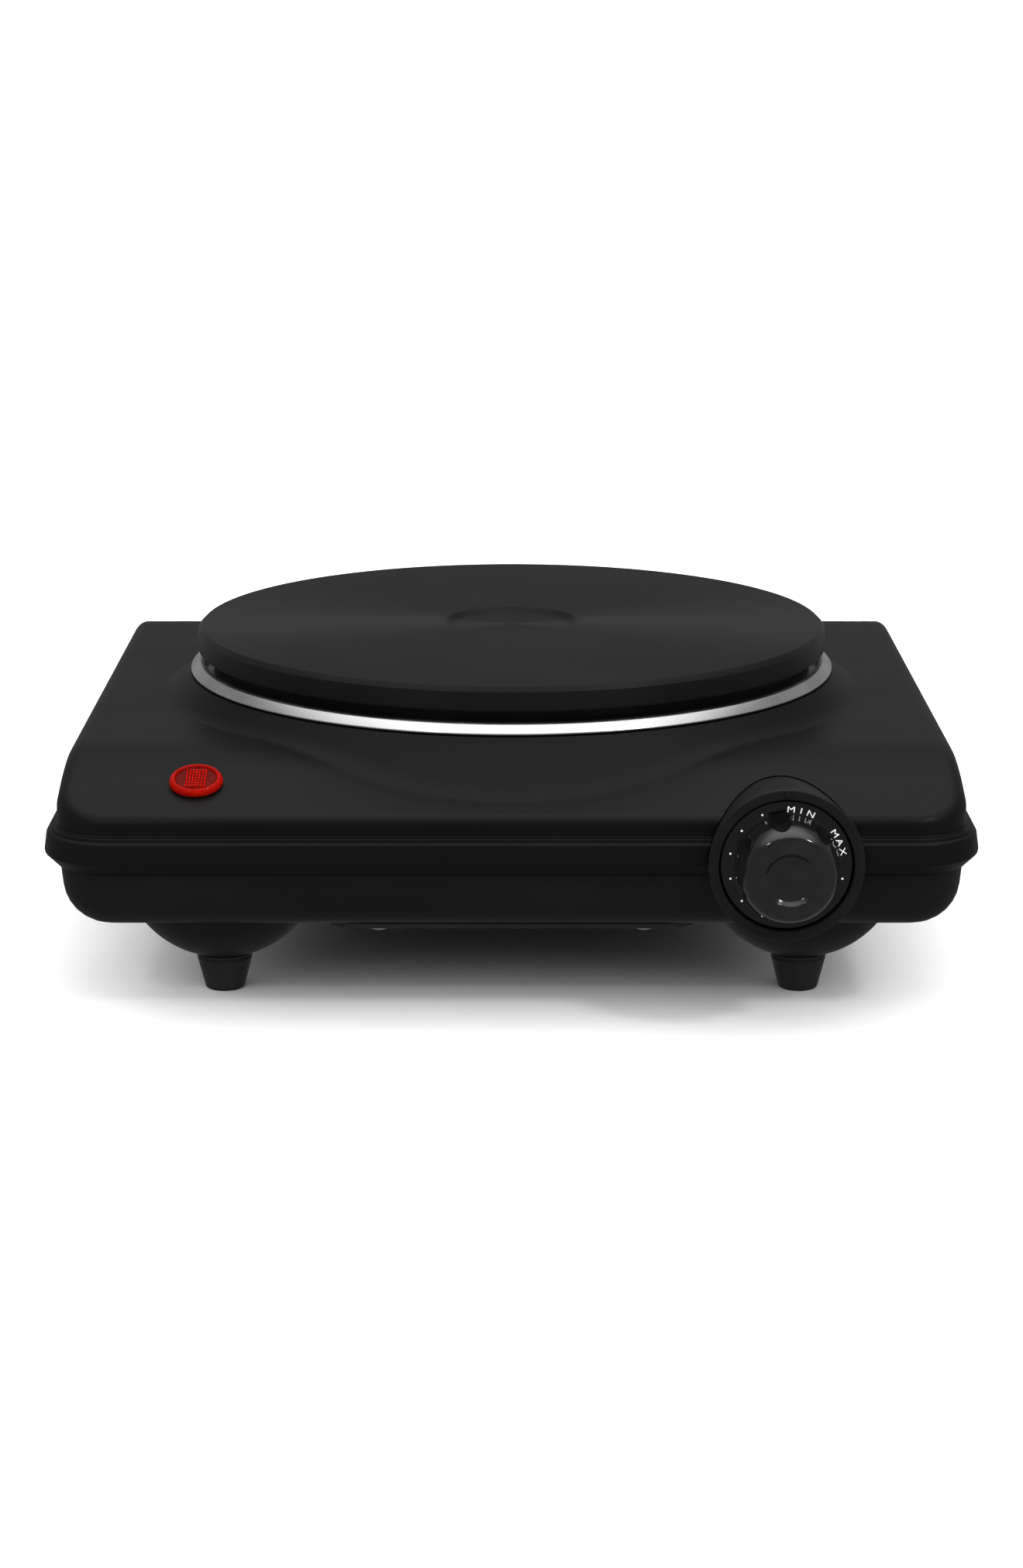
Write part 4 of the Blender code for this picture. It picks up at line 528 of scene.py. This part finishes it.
def knob_bezel(mat):
    """Flat rimmed cup round the dial, its barrel tapering back into the apron."""
    front = reach(BEZEL_FRONT)
    back = reach(BEZEL_BACK)
    floor = front - WELL_DEPTH
    profile = rounded_chain([
        (BEZEL_RADIUS, front, 0.0006), (BEZEL_REAR_RADIUS, back, 0.0),
        (BEZEL_REAR_RADIUS - 0.0018, back, 0.0),
        (BEZEL_RADIUS - 0.0030, floor - 0.0020, 0.0), (0.0041, floor - 0.0020, 0.0), (0.0041, floor, 0.0),
        (WELL_RADIUS, floor, 0.0004), (WELL_RADIUS, front, 0.0004)], closed=True)
    bezel = lathe("knob_bezel_cup", profile, SMALL_ROUND, to_front(KNOB_X, KNOB_Z))
    bar = bmesh.new()
    bmesh.ops.create_cube(bar, size=1.0)
    middle = (WELL_RADIUS + BEZEL_RADIUS) / 2
    span = Vector((0.0018, BEZEL_RADIUS - WELL_RADIUS - 0.0012, 0.0026))
    spot = Matrix.Translation((0.0, middle + 0.0002, front + POINTER_HEIGHT - span.z / 2))
    bmesh.ops.transform(bar, matrix=spot @ Matrix.Diagonal((*span, 1.0)), verts=bar.verts)
    bmesh.ops.bevel(bar, geom=bar.edges, offset=0.0002, segments=2, affect="EDGES")
    combine(bezel, placed("pointer", finished(bar, "pointer"), to_front(KNOB_X, KNOB_Z)), "UNION")
    finish_piece(bezel, "body", "housing_black", mat, "knob_bezel")


def scallop(angle, share):
    """Depth cut from the grip at an angle clockwise from the top; share narrows and shallows its end."""
    if share <= 0.0:
        return 0.0
    pitch = 2 * pi / SCALLOPS
    from_centre = (angle - SCALLOP_START + pitch / 2) % pitch - pitch / 2
    inside = min(abs(from_centre) / (SCALLOP_WIDTH * share), 1.0)
    return SCALLOP_DEPTH * sqrt(share) * (1.0 - inside ** 2) ** 0.6


def back_rows(skirt_back, skirt_front, face):
    """(radius, reach) from the bore's end, over the hollow back and the skirt, to the grip's foot."""
    hollow = face - 0.0050
    return rounded_chain([
        (0.0, skirt_back + 0.0150, 0.0), (0.0033, skirt_back + 0.0150, 0.0), (0.0033, skirt_back, 0.0),
        (0.0055, skirt_back, 0.0), (0.0055, hollow, 0.0), (GRIP_RADIUS - 0.0055, hollow, 0.0),
        (GRIP_RADIUS - 0.0042, skirt_back, 0.0), (SKIRT_RADIUS, skirt_back, 0.0004),
        (SKIRT_RADIUS, skirt_front, 0.0004), (GRIP_RADIUS + 0.0006, skirt_front, 0.0)])


def grip_rows(skirt_front, face):
    """(radius, reach, scallop share) up the grip's wall and round its shoulder to the crest."""
    crest = face - CREST_DROP
    shoulder = skirt_front + (crest - skirt_front) * SHOULDER_START
    wall = GRIP_RADIUS - WALL_TAPER
    brow = GRIP_RADIUS - BROW_INSET
    profile = []
    for step in range(WALL_STEPS):
        share = step / WALL_STEPS
        height = skirt_front + 0.0001 + (shoulder - skirt_front - 0.0001) * share
        profile.append((GRIP_RADIUS - WALL_TAPER * share, height))
    for step in range(SHOULDER_STEPS + 1):
        turn = radians(82) * step / SHOULDER_STEPS
        profile.append((brow + (wall - brow) * cos(turn), shoulder + (crest - shoulder) * sin(turn)))
    rows = []
    for radius, height in profile:
        past = ((height - skirt_front) / (crest - skirt_front) - SCALLOP_FULL) / (SCALLOP_END - SCALLOP_FULL)
        past = min(max(past, 0.0), 1.0)
        rows.append((radius, height, sqrt(1.0 - past ** 2)))
    return rows


def dish_rows(face):
    """(radius, reach) from the crest, up the sloping face to the dish's fine rim, and to its middle."""
    return rounded_chain([
        (GRIP_RADIUS - BROW_INSET - 0.0002, face - CREST_DROP + 0.0001, 0.0),
        (FACE_RADIUS + 0.0006, face, 0.0005), (FACE_RADIUS, face - 0.0003, 0.0004),
        (FACE_RADIUS - 0.0012, face - 0.0014, 0.0016), (0.0, face - 0.0016, 0.0)])


def control_knob(mat):
    """Dial skirt and scalloped grip with a rounded shoulder and a dished face, hollow behind."""
    skirt_front = reach(BEZEL_FRONT) - SKIRT_RECESS
    skirt_back = skirt_front - SKIRT_THICKNESS
    face = reach(KNOB_LOW.y)
    rows = [(*row, 0.0) for row in back_rows(skirt_back, skirt_front, face)]
    rows += grip_rows(skirt_front, face)
    rows += [(*row, 0.0) for row in dish_rows(face)]
    segments = SCALLOPS * 64
    bm = bmesh.new()
    rings = []
    for radius, height, share in rows:
        if radius <= 1e-9:
            rings.append([bm.verts.new((0.0, 0.0, height))])
            continue
        ring = []
        for step in range(segments):
            angle = 2 * pi * step / segments
            spot = radius - scallop(angle, share)
            ring.append(bm.verts.new((spot * sin(angle), spot * cos(angle), height)))
        rings.append(ring)
    for first, second in zip(rings, rings[1:]):
        join_rings(bm, first, second)
    knob = placed("control_knob_grip", finished(bm, "control_knob_grip"), to_front(KNOB_X, KNOB_Z))
    finish_piece(knob, "knob", "knob_gloss", mat, "control_knob")


def letter_mesh(letter):
    """Flat mesh of one capital, centred on its own middle."""
    curve = bpy.data.curves.new("letter", "FONT")
    curve.body = letter
    curve.size = LETTER_HEIGHT / LETTER_CAP_SHARE
    curve.extrude = PRINT_DEPTH
    curve.align_x = "CENTER"
    obj = placed("letter", curve)
    bpy.context.view_layer.update()
    mesh = bpy.data.meshes.new_from_object(obj.evaluated_get(bpy.context.evaluated_depsgraph_get()))
    bpy.data.objects.remove(obj)
    return mesh


def dial_marks(mat):
    """Printed MIN, MAX and dots in an arc on the dial's skirt."""
    front = reach(BEZEL_FRONT) - SKIRT_RECESS + PRINT_DEPTH / 2
    bm = bmesh.new()
    for word, middle in WORDS:
        for place, letter in enumerate(word):
            angle = middle + (place - 1) * LETTER_PITCH / MARK_RADIUS
            mesh = letter_mesh(letter)
            shift = Matrix.Translation((0.0, MARK_RADIUS - LETTER_HEIGHT / 2, front))
            stretch = Matrix.Diagonal((LETTER_STRETCH, 1.0, 1.0, 1.0))
            mesh.transform(Matrix.Rotation(-angle, 4, "Z") @ shift @ stretch)
            bm.from_mesh(mesh)
    for step in DOT_STEPS:
        angle = DOT_PITCH * step
        spot = Matrix.Rotation(-angle, 4, "Z") @ Matrix.Translation((0.0, MARK_RADIUS, front - PRINT_DEPTH))
        dot = [(0.0, 0.0), (DOT_RADIUS, 0.0), (DOT_RADIUS, 2 * PRINT_DEPTH), (0.0, 2 * PRINT_DEPTH)]
        add_lathe(bm, dot, 20, spot)
    marks = placed("dial_marks", finished(bm, "dial_marks"), to_front(KNOB_X, KNOB_Z))
    finish_piece(marks, "knob", "knob_gloss", mat)


# ---- pilot light -----------------------------------------------------------------------------------
def pilot_lens(mat, inner_mat):
    """Red lens: a rounded rim round a sunk window, on a hollow shank, with prisms in the window."""
    floor = LENS_HEIGHT - 0.0011
    profile = rounded_chain([
        (0.0, floor + 0.0001, 0.0), (LENS_RADIUS - 0.0018, floor, 0.0006),
        (LENS_RADIUS - 0.0011, LENS_HEIGHT, 0.0006), (LENS_RADIUS, LENS_HEIGHT - 0.0012, 0.0012),
        (LENS_RADIUS, GAP, 0.0002), (LENS_SHANK, GAP, 0.0),
        (LENS_SHANK, -0.0090, 0.0), (0.0045, -0.0090, 0.0),
        (0.0045, 0.0004, 0.0), (0.0, 0.0005, 0.0)])
    lens = lathe("pilot_lens_rim", profile, SMALL_ROUND, apron_matrix())
    finish_piece(lens, "body", "pilot_red", mat, "pilot_lens")
    bm = bmesh.new()
    pitch = Vector((0.00082, 0.00125))
    for column in range(-3, 4):
        for row in range(-3, 4):
            spot = Vector((column * pitch.x, row * pitch.y))
            if spot.length < LENS_RADIUS - 0.0026:
                add_prism(bm, spot, pitch * 0.42, floor - 0.0002, floor + 0.0006)
    prisms = placed("pilot_lens_prisms", finished(bm, "pilot_lens_prisms"), apron_matrix())
    finish_piece(prisms, "body", "pilot_red", inner_mat)


def add_prism(bm, spot, half, low, high):
    """Four-sided stud with a small flat top."""
    rings = []
    for share, height in ((1.0, low), (1.0, low + 0.0002), (0.45, high)):
        corners = [(half.x * share * a, half.y * share * b) for a, b in ((1, 1), (-1, 1), (-1, -1), (1, -1))]
        rings.append([bm.verts.new((spot.x + x, spot.y + y, height)) for x, y in corners])
    for lower, upper in zip(rings, rings[1:]):
        join_rings(bm, lower, upper)
    bm.faces.new(rings[0][::-1])
    bm.faces.new(rings[-1])


# ---- material helpers ------------------------------------------------------------------------------
class Finish:
    """Builds one procedural material in the CAD's own coordinates."""

    def __init__(self, name, roughness, metallic=0.0, **sockets):
        self.mat = bpy.data.materials.new(name)
        self.mat.use_nodes = True
        self.tree = self.mat.node_tree
        self.shader = self.tree.nodes["Principled BSDF"]
        self.shader.inputs["Roughness"].default_value = roughness
        self.shader.inputs["Metallic"].default_value = metallic
        for socket, value in sockets.items():
            self.shader.inputs[socket.replace("_", " ")].default_value = value
        self.coords = self.node("ShaderNodeTexCoord").outputs["Object"]

    def node(self, kind, **values):
        made = self.tree.nodes.new(kind)
        for name, value in values.items():
            setattr(made, name, value)
        return made

    def link(self, source, target):
        self.tree.links.new(source, target)

    def noise(self, scale, detail=3.0, coords=None, roughness=0.5):
        made = self.node("ShaderNodeTexNoise")
        made.inputs["Scale"].default_value = scale
        made.inputs["Detail"].default_value = detail
        made.inputs["Roughness"].default_value = roughness
        self.link(coords or self.coords, made.inputs["Vector"])
        return made.outputs["Fac"]

    def spread(self, value, low, high, start=0.3, end=0.7):
        """Maps a 0 to 1 pattern to a range of numbers."""
        made = self.node("ShaderNodeMapRange")
        for name, number in (("From Min", start), ("From Max", end), ("To Min", low), ("To Max", high)):
            made.inputs[name].default_value = number
        self.link(value, made.inputs["Value"])
        return made.outputs["Result"]

    def colours(self, value, low, high, start=0.3, end=0.7):
        made = self.node("ShaderNodeValToRGB")
        first, last = made.color_ramp.elements
        first.position, last.position = start, end
        first.color, last.color = (*low, 1.0), (*high, 1.0)
        self.link(value, made.inputs["Fac"])
        return made.outputs["Color"]

    def bump(self, value, distance, strength=1.0, after=None):
        made = self.node("ShaderNodeBump")
        made.inputs["Distance"].default_value = distance
        made.inputs["Strength"].default_value = strength
        self.link(value, made.inputs["Height"])
        if after is not None:
            self.link(after, made.inputs["Normal"])
        return made.outputs["Normal"]

    def math(self, operation, first, second=None):
        made = self.node("ShaderNodeMath", operation=operation)
        for slot, value in zip(made.inputs, (first, second)):
            if isinstance(value, (int, float)):
                slot.default_value = value
            elif value is not None:
                self.link(value, slot)
        return made.outputs["Value"]

    def radius(self, coords):
        """Distance from the local Z axis."""
        flat = self.node("ShaderNodeVectorMath", operation="MULTIPLY")
        flat.inputs[1].default_value = (1.0, 1.0, 0.0)
        self.link(coords, flat.inputs[0])
        length = self.node("ShaderNodeVectorMath", operation="LENGTH")
        self.link(flat.outputs["Vector"], length.inputs[0])
        return length.outputs["Value"]

    def within(self, radius, inner, outer, blend=0.0002):
        """One colour up to a radius from the local Z axis, and another beyond it."""
        mix = self.node("ShaderNodeMix", data_type="RGBA")
        share = self.spread(self.radius(self.coords), 0.0, 1.0, radius, radius + blend)
        self.link(share, mix.inputs["Factor"])
        self.link(inner, mix.inputs["A"])
        self.link(outer, mix.inputs["B"])
        return mix.outputs["Result"]

    def use(self, colour=None, roughness=None, normal=None):
        for socket, value in (("Base Color", colour), ("Roughness", roughness), ("Normal", normal)):
            if value is not None:
                self.link(value, self.shader.inputs[socket])
        return self.mat


def enamel():
    """Satin black enamel: fine orange peel, faint clouding of the gloss."""
    made = Finish("housing_black", 0.40, Specular_IOR_Level=0.08)
    cloud = made.noise(26.0, 4.0)
    speck = made.noise(5200.0, 1.0)
    colour = made.colours(cloud, (0.0026, 0.0026, 0.0027), (0.0034, 0.0034, 0.0035))
    rough = made.spread(cloud, 0.37, 0.43)
    normal = made.bump(made.noise(1300.0, 2.0), 0.000006, 1.0, made.bump(speck, 0.0000012))
    return made.use(colour, rough, normal)


def pan_enamel():
    """The pan's duller paint."""
    made = Finish("pan_black", 0.46, Specular_IOR_Level=0.12)
    cloud = made.noise(34.0, 4.0)
    colour = made.colours(cloud, (0.0036, 0.0036, 0.0037), (0.0048, 0.0048, 0.0049))
    normal = made.bump(made.noise(1500.0, 2.0), 0.000006)
    return made.use(colour, made.spread(cloud, 0.42, 0.50), normal)


def cast_iron():
    """Black-coated iron, turned: fine rings that stretch the gloss, on a faintly sandy grain."""
    made = Finish("cast_iron", 0.42, Specular_IOR_Level=0.08, Anisotropic=0.75, Anisotropic_Rotation=0.25)
    tangent = made.node("ShaderNodeTangent", direction_type="RADIAL", axis="Z")
    made.link(tangent.outputs["Tangent"], made.shader.inputs["Tangent"])
    radius = made.radius(made.coords)
    line = made.node("ShaderNodeCombineXYZ")
    made.link(made.math("MULTIPLY", radius, 2600.0), line.inputs["X"])
    turned = made.noise(1.0, 3.0, line.outputs["Vector"])
    rings = made.math("SINE", made.math("MULTIPLY", radius, 2 * pi / 0.0011))
    grain = made.noise(3200.0, 2.0)
    patch = made.noise(38.0, 5.0, roughness=0.6)
    colour = made.colours(patch, (0.0040, 0.0040, 0.0040), (0.0056, 0.0055, 0.0054))
    normal = made.bump(grain, 0.000005, 1.0, made.bump(turned, 0.000008, 1.0, made.bump(rings, 0.000003)))
    return made.use(colour, made.spread(turned, 0.38, 0.48), normal)


def chrome():
    """Polished band with hairlines that run round it."""
    made = Finish("chrome", 0.16, 1.0)
    radius = made.radius(made.coords)
    height = made.node("ShaderNodeSeparateXYZ")
    made.link(made.coords, height.inputs["Vector"])
    across = made.math("ADD", radius, height.outputs["Z"])
    line = made.node("ShaderNodeCombineXYZ")
    made.link(made.math("MULTIPLY", across, 9000.0), line.inputs["X"])
    hair = made.noise(1.0, 2.0, line.outputs["Vector"])
    smudge = made.noise(45.0, 4.0)
    colour = made.colours(smudge, (0.50, 0.50, 0.505), (0.58, 0.58, 0.58))
    return made.use(colour, made.spread(smudge, 0.22, 0.32), made.bump(hair, 0.0000012))


def knob_gloss():
    """Polished black plastic, coloured paler on the grip than on the dial round it: the paler grip is a
    painted sheen and the darker dial a painted shade.
    """
    made = Finish("knob_gloss", 0.08, Specular_IOR_Level=0.5)
    haze = made.noise(240.0, 4.0)
    # Painted light: the dial's darker colour is painted shade and the grip's paler colour is painted sheen.
    dial = made.colours(haze, (0.0016, 0.0016, 0.0017), (0.0024, 0.0024, 0.0025))
    grip = made.colours(haze, (0.0045, 0.0045, 0.0046), (0.0065, 0.0065, 0.0066))
    colour = made.within(GRIP_RADIUS + 0.0002, grip, dial)
    return made.use(colour, made.spread(haze, 0.06, 0.12), made.bump(haze, 0.000003))


def dial_print():
    made = Finish("dial_print", 0.5)
    ink = made.noise(9000.0, 2.0)
    return made.use(made.colours(ink, (0.72, 0.72, 0.72), (0.92, 0.92, 0.92)), made.spread(ink, 0.42, 0.58))


def moulded_black(name, base, rough, grain=2400.0):
    """Textured black moulding."""
    made = Finish(name, rough, Specular_IOR_Level=0.12)
    cloud = made.noise(90.0, 4.0)
    grainy = made.noise(grain, 2.0)
    colour = made.colours(cloud, (base * 0.85,) * 3, (base * 1.2,) * 3)
    return made.use(colour, made.spread(cloud, rough - 0.05, rough + 0.06), made.bump(grainy, 0.000010))


def pilot_red():
    """Clear red plastic, coloured bright in the thick rim as painted light and deep in the sunk window as
    painted shade.
    """
    made = Finish("pilot_red", 0.12, Specular_IOR_Level=0.03)
    depth = made.noise(420.0, 3.0)
    # Painted light: the window's darker red is painted shade and the rim's brighter red is painted light.
    window = made.colours(depth, (0.050, 0.0006, 0.0003), (0.085, 0.0010, 0.0004))
    rim = made.colours(depth, (0.19, 0.0022, 0.0006), (0.26, 0.0034, 0.0010))
    colour = made.within(LENS_RADIUS - 0.0019, window, rim, 0.0006)
    return made.use(colour, made.spread(depth, 0.08, 0.14), made.bump(depth, 0.000002))


def pilot_prism_red():
    """The moulded prisms catch more light than the window they stand in."""
    made = Finish("pilot_red_prisms", 0.25, Specular_IOR_Level=0.03)
    depth = made.noise(900.0, 2.0)
    colour = made.colours(depth, (0.24, 0.0026, 0.0007), (0.44, 0.0056, 0.0012))
    return made.use(colour, made.spread(depth, 0.20, 0.32))


def metal(name, low, high, rough_low, rough_high, scale=160.0, scratch=2600.0):
    """Rolled or plated metal: clouded colour, uneven gloss and fine scratches."""
    made = Finish(name, rough_low, 1.0)
    cloud = made.noise(scale, 5.0, roughness=0.6)
    stretched = made.node("ShaderNodeMapping")
    stretched.inputs["Scale"].default_value = (1.0, 0.06, 1.0)
    made.link(made.coords, stretched.inputs["Vector"])
    lines = made.noise(scratch, 2.0, stretched.outputs["Vector"])
    normal = made.bump(lines, 0.0000025)
    return made.use(made.colours(cloud, low, high), made.spread(cloud, rough_low, rough_high), normal)


def mineral(name, low, high, rough, grain):
    """Fired or pressed mineral: pale, dry and slightly speckled."""
    made = Finish(name, rough, Specular_IOR_Level=0.35)
    speck = made.noise(grain, 4.0, roughness=0.7)
    colour = made.colours(speck, low, high)
    return made.use(colour, made.spread(speck, rough - 0.08, rough + 0.06), made.bump(speck, 0.000015))


def sleeve(name, low, high):
    """Silicone sleeving with a dry, softly clouded surface."""
    made = Finish(name, 0.6, Sheen_Weight=0.2)
    cloud = made.noise(900.0, 3.0)
    return made.use(made.colours(cloud, low, high), made.spread(cloud, 0.52, 0.68), made.bump(cloud, 0.00001))


def lamp_glass():
    made = Finish("lamp_glass", 0.06, Transmission_Weight=0.85, IOR=1.45)
    haze = made.noise(600.0, 3.0)
    return made.use(made.colours(haze, (0.85, 0.62, 0.50), (0.95, 0.82, 0.72)), made.spread(haze, 0.03, 0.12))


def paint_cad_nodes(finishes):
    """Gives every CAD node that still shows the material of its record slot."""
    for entry in frame["record"]["subparts"]:
        node = frame["nodes"][entry["node"]]
        if not node.hide_render:
            node.data.materials.clear()
            node.data.materials.append(finishes[entry["material_slot"]])


# ---- stage -----------------------------------------------------------------------------------------
CAMERA_BACK = 0.9775
CAMERA_UP = 0.1966
CAMERA_PITCH = radians(14.17)
CAMERA_LENS = 77.2


def camera():
    data = bpy.data.cameras.new("camera")
    data.lens = CAMERA_LENS
    data.sensor_width = 36.0
    data.clip_start = 0.01
    obj = bpy.data.objects.new("camera", data)
    obj.location = (0.0, PLATE_Y - CAMERA_BACK, PLATE_TOP + CAMERA_UP)
    obj.rotation_euler = (pi / 2 - CAMERA_PITCH, 0.0, 0.0)
    bpy.context.scene.collection.objects.link(obj)
    bpy.context.scene.camera = obj


def floor():
    """Plain white floor, wide enough to fill the view."""
    bm = bmesh.new()
    bmesh.ops.create_circle(bm, cap_ends=True, radius=9.0, segments=64)
    made = Finish("floor_white", 0.9, Specular_IOR_Level=0.1)
    paper = made.noise(40.0, 2.0)
    mat = made.use(made.colours(paper, (0.83, 0.83, 0.83), (0.85, 0.85, 0.85)))
    obj = placed("floor", finished(bm, "floor"))
    obj.data.materials.append(mat)
    obj.visible_glossy = False


def area_light(name, place, target, size, power):
    data = bpy.data.lights.new(name, "AREA")
    data.shape = "RECTANGLE"
    data.size, data.size_y = size
    data.energy = power
    obj = bpy.data.objects.new(name, data)
    obj.location = place
    obj.rotation_euler = (Vector(target) - Vector(place)).to_track_quat("-Z", "Y").to_euler()
    bpy.context.scene.collection.objects.link(obj)
    return obj


DAYLIGHT = 2.9
ZENITH = 2.8
HORIZON = 0.30
BACKDROP = 1.4


def background(tree, strength):
    """A white background of a fixed strength, or of a strength that another node gives."""
    made = tree.nodes.new("ShaderNodeBackground")
    if isinstance(strength, float):
        made.inputs["Strength"].default_value = strength
    else:
        tree.links.new(strength, made.inputs["Strength"])
    return made.outputs["Background"]


def climb(tree, height, start, end, low, high):
    """Brightness that rises smoothly with the height of the direction, 0 at the horizon and 1 overhead."""
    made = tree.nodes.new("ShaderNodeMapRange")
    made.interpolation_type = "SMOOTHSTEP"
    values = (("From Min", start), ("From Max", end), ("To Min", low), ("To Max", high))
    for socket, value in values:
        made.inputs[socket].default_value = value
    tree.links.new(height, made.inputs["Value"])
    return made.outputs["Result"]


def world():
    """Soft daylight for the matt surfaces, a dimmer studio with a bright ceiling for gloss, white behind."""
    made = bpy.data.worlds.new("studio")
    made.use_nodes = True
    tree = made.node_tree
    tree.nodes.clear()
    coords = tree.nodes.new("ShaderNodeTexCoord")
    parts = tree.nodes.new("ShaderNodeSeparateXYZ")
    tree.links.new(coords.outputs["Generated"], parts.inputs["Vector"])
    height = parts.outputs["Z"]
    rays = tree.nodes.new("ShaderNodeLightPath")
    shade = background(tree, climb(tree, height, 0.20, 0.48, 0.10, DAYLIGHT))
    studio_light = background(tree, climb(tree, height, 0.55, 0.99, HORIZON, ZENITH))
    for ray, seen in (("Is Glossy Ray", studio_light), ("Is Camera Ray", background(tree, BACKDROP))):
        mix = tree.nodes.new("ShaderNodeMixShader")
        tree.links.new(rays.outputs[ray], mix.inputs["Fac"])
        tree.links.new(shade, mix.inputs[1])
        tree.links.new(seen, mix.inputs[2])
        shade = mix.outputs["Shader"]
    out = tree.nodes.new("ShaderNodeOutputWorld")
    tree.links.new(shade, out.inputs["Surface"])
    bpy.context.scene.world = made


def studio():
    """Two small soft boxes draw the lights on the knob; the world gives the rest."""
    area_light("left_box", (-0.55, -1.0, 0.85), (0.07, -0.12, 0.05), (0.10, 0.10), 1.5)
    area_light("right_box", (0.75, -0.75, 0.95), (0.07, -0.12, 0.05), (0.16, 0.16), 4.0)
    world()
    floor()
    settings = bpy.context.scene.view_settings
    settings.view_transform = "Standard"
    settings.look = "None"


def main():
    camera()
    black = enamel()
    gloss = knob_gloss()
    plastic = moulded_black("foot_plastic", 0.0150, 0.45)
    iron = cast_iron()
    bright_ring = chrome()
    red = pilot_red()
    finishes = {
        "housing_black": black,
        "foot_plastic": plastic,
        "cast_iron": iron,
        "chrome": bright_ring,
        "pilot_red": red,
        "knob_gloss": gloss,
        "zinc_steel": metal("zinc_steel", (0.46, 0.46, 0.45), (0.60, 0.60, 0.58), 0.28, 0.46),
        "aluminised_sheet": metal("aluminised_sheet", (0.62, 0.62, 0.62), (0.76, 0.76, 0.76), 0.24, 0.40),
        "brass": metal("brass", (0.58, 0.40, 0.15), (0.76, 0.58, 0.27), 0.24, 0.42),
        "bimetal": metal("bimetal", (0.44, 0.38, 0.32), (0.58, 0.52, 0.46), 0.30, 0.44),
        "element_sheath": metal("element_sheath", (0.12, 0.11, 0.10), (0.24, 0.22, 0.20), 0.40, 0.60),
        "ceramic": mineral("ceramic", (0.74, 0.71, 0.64), (0.86, 0.83, 0.77), 0.50, 1800.0),
        "pressed_mineral": mineral("pressed_mineral", (0.56, 0.54, 0.50), (0.72, 0.70, 0.66), 0.85, 900.0),
        "sleeve_white": sleeve("sleeve_white", (0.66, 0.65, 0.62), (0.80, 0.79, 0.76)),
        "sleeve_black": sleeve("sleeve_black", (0.020, 0.020, 0.020), (0.036, 0.036, 0.036)),
        "lamp_glass": lamp_glass(),
    }
    studio()
    upper_housing(black)
    lower_housing(pan_enamel())
    hot_plate(iron)
    trim_ring(bright_ring)
    feet(plastic)
    knob_bezel(moulded_black("bezel_black", 0.0052, 0.42, 3000.0))
    control_knob(gloss)
    dial_marks(dial_print())
    pilot_lens(red, pilot_prism_red())
    paint_cad_nodes(finishes)


main()
